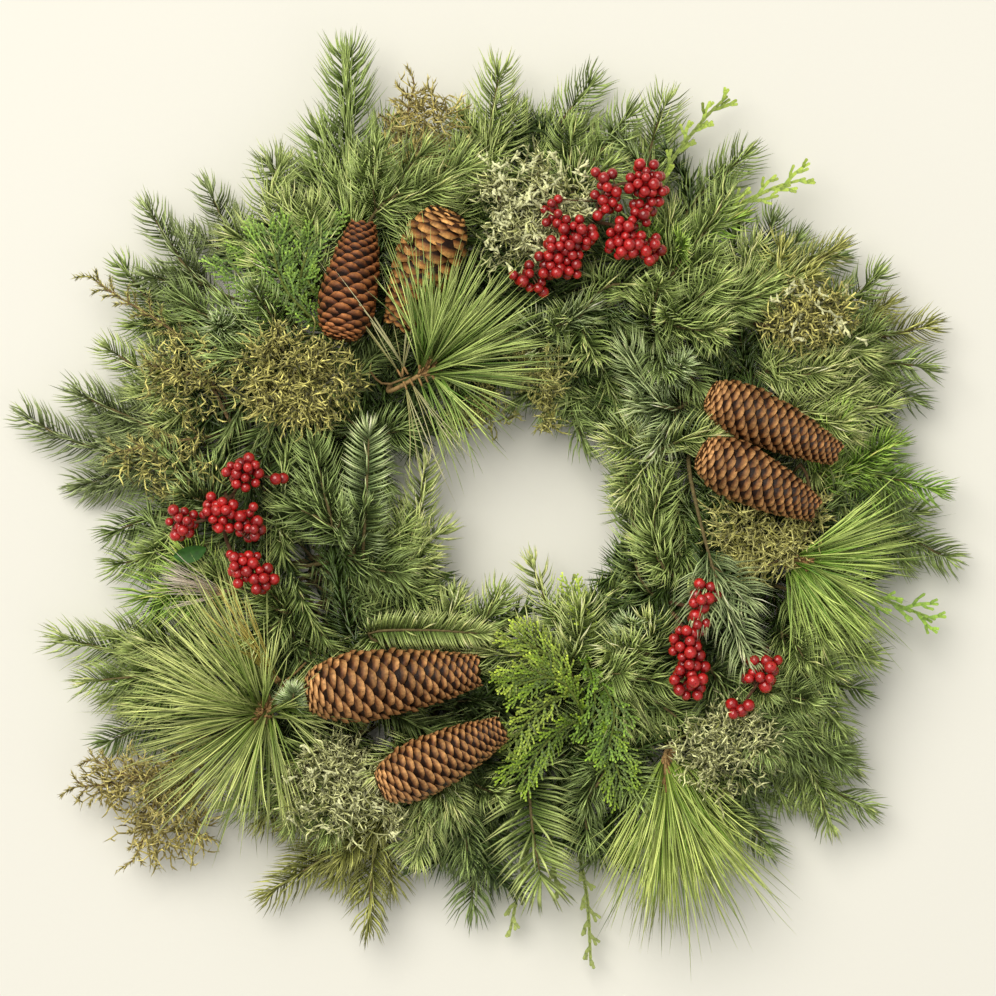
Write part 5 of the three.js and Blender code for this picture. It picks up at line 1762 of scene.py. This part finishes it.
CEDARS = (
    CedarSpray("cedar_spray_1", (
        Frond("46,-171 47,-182 42,-130,60 26,-112,63 -4,-118,66", 20),
        Frond("45,-170 49,-182 40,-140,58 24,-150,60 2,-178,62", 24),
        Frond("45,-168 50,-181 56,-140,50 70,-184,56", 24)),
        tint=Tint((46, 80, 8), (154, 184, 44), 0.26)),
    CedarSpray("cedar_spray_2", (
        Frond("28,-175 28,-186 12,-215,16 -4,-284,14", 12, True),
        Frond("28,-173 29,-186 24,-210,26 28,-258,24", 12, True),
        Frond("27,-172 31,-185 38,-212,18 47,-255,17 50,-303,16", 12, True)),
        tint=Tint((108, 124, 50), (168, 182, 96), 0.15)),
    CedarSpray("cedar_spray_3", (
        Frond("111,138 120,145 128,182,34 165,205,35 190,213,36", 22, True),
        Frond("110,136 118,146 96,208,34 122,250,34 139,267,34", 17, True)),
        tint=Tint((84, 124, 30), (184, 206, 84), 0.18)),
    CedarSpray("cedar_spray_4", (
        Frond("171,-46 181,-50 205,-50,32 275,-75,32", 20, True),),
        tint=Tint((76, 126, 30), (176, 214, 84), 0.18)),
    CedarSpray("cedar_spray_5", (
        Frond("-111,138 -117,147 -128,134,44 -146,176,50", 24),
        Frond("-110,136 -118,146 -140,138,38 -172,168,44", 24)),
        tint=Tint((46, 86, 18), (158, 192, 72), 0.24)),
    CedarSpray("cedar_filler_1", (
        Frond("40,-116,58 22,-98,60 -4,-82,64", 20), Frond("36,-118,58 12,-108,62 -8,-114,66", 17),
        Frond("34,-122,58 12,-136,62 -5,-158,64", 19), Frond("50,-82,46 40,-64,48 36,-50,46", 15)),
        tint=Tint((54, 94, 10), (202, 222, 80), 0.26), loose=True),
    CedarSpray("cedar_filler_2", (
        Frond("50,-108,52 64,-130,56 60,-162,56", 22),
        Frond("46,-100,48 52,-126,54 46,-150,54", 18)),
        tint=Tint((54, 90, 16), (150, 188, 56), 0.22), loose=True),
    CedarSpray("cedar_filler_3", (
        Frond("-150,118,40 -170,140,46 -188,160,44", 22),
        Frond("-140,130,46 -136,160,50 -124,186,48", 22),
        Frond("-128,118,50 -150,142,54 -160,180,50", 24)),
        tint=Tint((48, 90, 20), (160, 196, 76), 0.24), loose=True),
)

FILLERS = (
    FirBough("fir_filler_1", (
        Shoot(22, Tone.MID, F, "92,118,44 130,128,52 172,138,54"),
        Shoot(20, Tone.DARK, F, "92,112,46 106,92,50 124,72,54"),
        Shoot(20, Tone.LIGHT, F, "150,140,44 176,152,48 200,162,48"),
        Shoot(20, Tone.MID, F, "104,152,44 122,176,48 140,204,48")), loose=True),
    FirBough("fir_filler_2", (
        Shoot(22, Tone.LIGHT, F, "86,30,46 108,42,56 134,46,64"),
        Shoot(18, Tone.DARK, F, "84,-52,34 76,-4,42 68,40,40", 1.6, 16),
        Shoot(20, Tone.MID, F, "96,-40,44 90,-8,50 100,24,52", 1.6, 22),
        Shoot(20, Tone.BLUE, F, "100,62,46 82,84,50 70,104,50")), loose=True),
    FirBough("fir_filler_3", (
        Shoot(22, Tone.DARK, F, "-104,-30,40 -128,-8,50 -150,0,54"),
        Shoot(20, Tone.DARK, F, "-96,40,42 -112,62,46 -120,84,44"),
        Shoot(20, Tone.MID, F, "-150,-70,40 -172,-58,46 -206,-40,46"),
        Shoot(20, Tone.MID, F, "-86,-30,34 -76,-50,36 -54,-62,34", 1.6, 24),
        Shoot(18, Tone.MID, F, "-30,-100,38 -22,-80,40 -8,-54,40", 1.6, 22),
        Shoot(17, Tone.LIGHT, F, "-52,-98,36 -44,-78,38 -34,-56,38", 1.6, 20)), loose=True),
    FirBough("fir_filler_4", (
        Shoot(20, Tone.MID, F, "60,-110,40 92,-128,46 120,-150,46"),
        Shoot(22, Tone.LIGHT, F, "84,-96,44 70,-120,48 74,-150,50"),
        Shoot(20, Tone.DARK, F, "130,-110,44 150,-140,50 182,-150,48"),
        Shoot(20, Tone.LIGHT, F, "30,-100,42 -4,-98,46 -30,-92,44")), loose=True),
    FirBough("fir_filler_5", (
        Shoot(20, Tone.LIGHT, F, "-60,-160,40 -56,-200,42 -66,-236,38"),
        Shoot(20, Tone.DARK, F, "-36,-160,36 -34,-196,34 -30,-240,30"),
        Shoot(20, Tone.DARK, F, "60,-170,40 46,-196,40 50,-226,34"),
        Shoot(20, Tone.MID, F, "-110,-160,36 -150,-186,40 -190,-196,34")), loose=True),
    FirBough("fir_filler_6", (
        Shoot(20, Tone.MID, F, "-60,150,42 -50,200,46 -30,236,44"),
        Shoot(20, Tone.LIGHT, F, "-130,150,40 -160,190,42 -150,228,38"),
        Shoot(20, Tone.MID, F, "40,120,44 60,142,50 96,140,54"),
        Shoot(20, Tone.DARK, F, "-150,100,38 -196,120,40 -226,140,34")), loose=True),
    FirBough("fir_filler_7", (
        Shoot(20, Tone.LIGHT, F, "180,60,42 214,60,44 250,66,40"),
        Shoot(20, Tone.MID, F, "186,-60,44 206,-90,46 236,-102,42"),
        Shoot(20, Tone.LIGHT, F, "170,90,42 204,100,46 236,98,42"),
        Shoot(18, Tone.MID, F, "160,-130,42 190,-146,44 214,-150,40")), loose=True),
)

PALE = Tint((120, 124, 62), (240, 242, 180), 0.34)
OLIVE_MOSS = Tint((84, 86, 28), (230, 222, 132), 0.36)
BROWN_JUNIPER = Tint((140, 126, 60), (224, 212, 134), 0.28)
YELLOW_STRANDS = Tint((144, 142, 66), (226, 222, 142), 0.25)
LICHENS = (
    LichenTwig("lichen_twig_1", (
        "9,177 12,188 8,172,46 16,222,56", "9,175 10,188 14,168,52 44,198,54",
        "9,174 8,188 0,176,50 -16,212,58"), Growth.CURLY, PALE,
        (Clump((14, 196, 58), (34, 28, 12), 210), Clump((2, 168, 56), (24, 16, 10), 80)), 14,
        lobed=0.34),
    LichenTwig("lichen_twig_2", (
        "-46,171 -47,182 -56,205,36 -70,250,40 -65,274,44",
        "-45,170 -49,182 -66,215,34 -83,251,40"), Growth.AWL, BROWN_JUNIPER,
        (Clump((-58, 224, 42), (14, 16, 8), 60), Clump((-60, 250, 42), (20, 18, 8), 110)), 16),
    LichenTwig("lichen_twig_3", (
        "-165,63 -175,69 -160,78,46 -126,92,66", "-164,63 -176,67 -165,68,50 -122,58,60",
        "-162,62 -176,66 -168,84,46 -152,112,62"), Growth.CURLY, OLIVE_MOSS,
        (Clump((-140, 82, 62), (42, 30, 12), 400),), 14),
    LichenTwig("lichen_twig_4", (
        "-171,46 -181,50 -196,78,36 -240,92,40",
        "-170,45 -182,49,28.5 -215,106,30 -262,138,32 -277,149,34",
        "-168,45 -182,47 -205,44,32 -262,34,34"), Growth.AWL, OLIVE_MOSS,
        (Clump((-212, 82, 42), (30, 26, 10), 150), Clump((-225, 22, 36), (28, 18, 8), 110)), 15),
    LichenTwig("lichen_twig_5", (
        "-80,-158 -76,-172 -114,-160,46 -108,-204,54",
        "-80,-156 -69,-176 -104,-166,44 -78,-210,50",
        "-79,-155 -78,-171 -122,-158,40 -150,-190,46"), Growth.CURLY, PALE,
        (Clump((-112, -186, 52), (40, 30, 12), 320),), 14, lobed=0.06),
    LichenTwig("lichen_twig_6", (
        "-125,-125 -134,-132 -200,-160,22 -245,-180,23 -291,-185,24",
        "-124,-124 -133,-133 -190,-150,34 -240,-178,34 -278,-166,34",
        "-123,-123 -132,-134 -178,-170,24 -225,-190,24 -250,-233,24"), Growth.AWL, BROWN_JUNIPER,
        (Clump((-240, -186, 28), (36, 22, 8), 170), Clump((-226, -208, 24), (30, 24, 7), 150)), 16),
    LichenTwig("lichen_twig_7", (
        "125,-125 132,-134 134,-140,56 122,-172,58",
        "124,-124 133,-133 142,-136,54 166,-156,60"), Growth.CURLY, PALE,
        (Clump((134, -158, 56), (34, 30, 12), 260),), 13),
    LichenTwig("lichen_twig_8", (
        "177,9 187,26,42.5 192,0,34 176,-18,40 140,-30,46",
        "175,9 188,10 196,-6,50 176,-32,55 148,-46,60"), Growth.CURLY, YELLOW_STRANDS,
        (Clump((150, -18, 54), (30, 18, 9), 130),), 18),
    LichenTwig("lichen_twig_9", (
        "138,111 147,117 176,118,58 198,136,66",
        "136,110 146,118 170,116,54 204,116,60"), Growth.CURLY, OLIVE_MOSS,
        (Clump((192, 122, 60), (28, 20, 11), 220),), 13, lobed=0.11),
    LichenTwig("lichen_twig_10", (
        "-20,126 -17,116 4,102,32 22,82,44", "-20,128 -18,116 10,100,28 22,50,34",
        "-20,129 -20,115 -14,96,26 -24,58,30"), Growth.CURLY, YELLOW_STRANDS,
        (Clump((16, 86, 44), (16, 18, 9), 90), Clump((-20, 58, 30), (20, 8, 7), 60)), 12),
)

CONES = (
    SpruceCone("spruce_cone_1", (-113, 108, 66), (-97, 186, 62), 19,
               body=(88, 46, 24), lip=(184, 120, 70)),
    SpruceCone("spruce_cone_2", (-43, 188, 72), (-78, 112, 58), 21, 8.5,
               body=(122, 72, 32), lip=(238, 180, 108)),
    SpruceCone("spruce_cone_3", (126, 71, 66), (212, 31, 60), 18),
    SpruceCone("spruce_cone_4", (120, 34, 76), (197, -5, 70), 19),
    SpruceCone("spruce_cone_5", (-133, -121, 70), (-18, -106, 72), 23),
    SpruceCone("spruce_cone_6", (-86, -182, 70), (-4, -142, 74), 19),
)
CONE_WIRES = (
    ConeWire("cone_wire_1", 117, 1, CONES[0:2], 0.39),
    ConeWire("cone_wire_2", 15, -1, CONES[2:4], 0.19),
    ConeWire("cone_wire_3", 237, 1, CONES[4:6], 0.25),
)

BERRIES = (
    BerrySpray("berry_spray_1", (
        "46,171 50,181 52,188,60 58,203,76 84,209,78",
        "45,170 49,182 48,180,64 40,172,78 28,158,78 8,148,74",
        "45,168 47,182 58,182,62 72,176,76 86,160,78"),
        (Cluster(58, 206, 76, 5, 6), Cluster(85, 208, 78, 14, 11), Cluster(87, 195, 76, 3, 5),
         Cluster(60, 194, 74, 4, 5), Cluster(25, 187, 72, 5, 6), Cluster(40, 172, 77, 12, 11),
         Cluster(28, 157, 77, 16, 13), Cluster(5, 150, 72, 3, 5), Cluster(15, 140, 70, 2, 4),
         Cluster(72, 172, 77, 12, 11), Cluster(87, 164, 77, 5, 6), Cluster(80, 184, 76, 3, 5))),
    BerrySpray("berry_spray_2", (
        "-177,9 -188,12 -184,4,58 -176,18,72 -174,26,76",
        "-175,9 -188,10 -190,-2,56 -200,-10,70 -222,-12,68",
        "-174,9 -188,8 -184,-6,54 -180,-14,70 -172,-22,76",
        "-172,9 -188,6 -188,-20,50 -178,-38,68 -164,-50,74"),
        (Cluster(-175, 22, 75, 9, 9), Cluster(-152, 17, 70, 1, 1), Cluster(-212, -11, 70, 8, 10),
         Cluster(-190, -8, 72, 9, 10), Cluster(-170, -10, 74, 7, 9), Cluster(-175, -38, 72, 8, 9),
         Cluster(-164, -49, 73, 5, 7)),
        leaves=("-200,-28,56 -210,-32,58 -221,-33,56",)),
    BerrySpray("berry_spray_3", (
        "107,-70 97,-65 112,-66,58 118,-70,70 124,-58,76",
        "109,-70 98,-64 108,-78,60 112,-92,74 112,-114,72"),
        (Cluster(122, -58, 76, 4, 5), Cluster(118, -74, 73, 3, 4), Cluster(112, -90, 75, 8, 8),
         Cluster(112, -112, 74, 10, 9)), 4.9),
    BerrySpray("berry_spray_4", (
        "158,-80 167,-87 162,-96,56 160,-108,70 146,-130,70",),
        (Cluster(160, -107, 72, 8, 9), Cluster(145, -132, 71, 2, 4)), 4.9),
)


# -------------------------------------------------------------------- the stage
@dataclass(frozen=True)
class Lamp:
    """A square soft light: its place, the length of its side and its power."""

    name: str
    place: Place
    size: float
    power: float
    colour: Place = (1.0, 0.96, 0.88)

    def build(self) -> None:
        """Hang it, looking at the wreath."""
        light = bpy.data.lights.new(self.name, "AREA")
        light.size = self.size
        light.energy = self.power
        light.color = self.colour
        lamp = bpy.data.objects.new(self.name, light)
        lamp.location = self.place
        lamp.rotation_euler = (-Vector(self.place)).to_track_quat("-Z", "Y").to_euler()
        bpy.context.scene.collection.objects.link(lamp)


@dataclass
class Studio:
    """A pale floor, soft light and a camera that looks straight down."""

    SENSOR: ClassVar[float] = 36.0

    floor: Colour = (234, 233, 225)
    floor_half: float = 6.0
    room: tuple[float, float, float, float] = (0.96, 0.95, 0.92, 1)
    room_light: float = 0.38
    lamps: tuple[Lamp, ...] = (
        Lamp("key", (-2.0, 2.7, 5.6), 5.4, 462),
        Lamp("fill", (1.6, -1.2, 2.8), 2.6, 9),
    )
    frame_width: float = 0.6474
    distance: float = 3.0
    aim: tuple[float, float] = (-0.011, 0.0045)
    plane: float = 0.045

    def build(self) -> None:
        """Make the floor, the lights, the world and the camera."""
        self._floor()
        for lamp in self.lamps:
            lamp.build()
        world = bpy.data.worlds.new("pale_room")
        world.use_nodes = True
        background = world.node_tree.nodes["Background"]
        set_sockets(background, {"Color": self.room, "Strength": self.room_light})
        bpy.context.scene.world = world
        self._camera()
        bpy.context.scene.view_settings.view_transform = "Standard"
        LOG.info("studio: floor, %d lamps, room and camera", len(self.lamps))

    def _camera(self) -> None:
        """Add the camera, straight over the wreath."""
        centre = ring_centre()
        lens = bpy.data.cameras.new("camera")
        camera = bpy.data.objects.new("camera", lens)
        lens.sensor_width = self.SENSOR
        lens.lens = self.SENSOR * (self.distance - self.plane) / self.frame_width
        lens.clip_end = 20
        camera.location = (centre.x + self.aim[0], centre.y + self.aim[1], self.distance)
        bpy.context.scene.collection.objects.link(camera)
        bpy.context.scene.camera = camera

    def _floor(self) -> None:
        """Add the floor, with a faint plaster grain."""
        mesh = bpy.data.meshes.new("floor")
        half = self.floor_half
        corners = [(-half, -half, 0), (half, -half, 0), (half, half, 0), (-half, half, 0)]
        mesh.from_pydata(corners, [], [(0, 1, 2, 3)])
        floor = bpy.data.objects.new("floor", mesh)
        bpy.context.scene.collection.objects.link(floor)
        paint, shader, place = new_paint("pale_plaster")
        set_sockets(shader, {"Roughness": 0.9})
        tree = paint.node_tree
        cloud = add_node(tree, "ShaderNodeTexNoise", {"Scale": 3.0})
        ramp = tree.nodes.new("ShaderNodeValToRGB")
        tone = linear(self.floor)
        ramp.color_ramp.elements[0].color = (*(tone * 0.97), 1)
        ramp.color_ramp.elements[1].color = (*tone, 1)
        tree.links.new(place, cloud.inputs["Vector"])
        tree.links.new(cloud.outputs["Fac"], ramp.inputs["Fac"])
        tree.links.new(ramp.outputs["Color"], shader.inputs["Base Color"])
        roughen(tree, shader, place, {"Scale": 260.0}, {"Strength": 0.08, "Distance": 0.001})
        mesh.materials.append(paint)


def main() -> None:
    """Build the wreath piece by piece, then the studio."""
    logging.basicConfig(level=logging.INFO, format="%(name)s %(message)s")
    WireWork().build()
    for group in (CONES, CONE_WIRES, BOUGHS, FILLERS, TUFTS, DRY_NEEDLES, CEDARS, LICHENS, BERRIES):
        for piece in group:
            piece.build()
    for index in range(Undergrowth.SECTORS):
        Undergrowth(index).build()
    Studio().build()


if __name__ == "__main__":
    main()
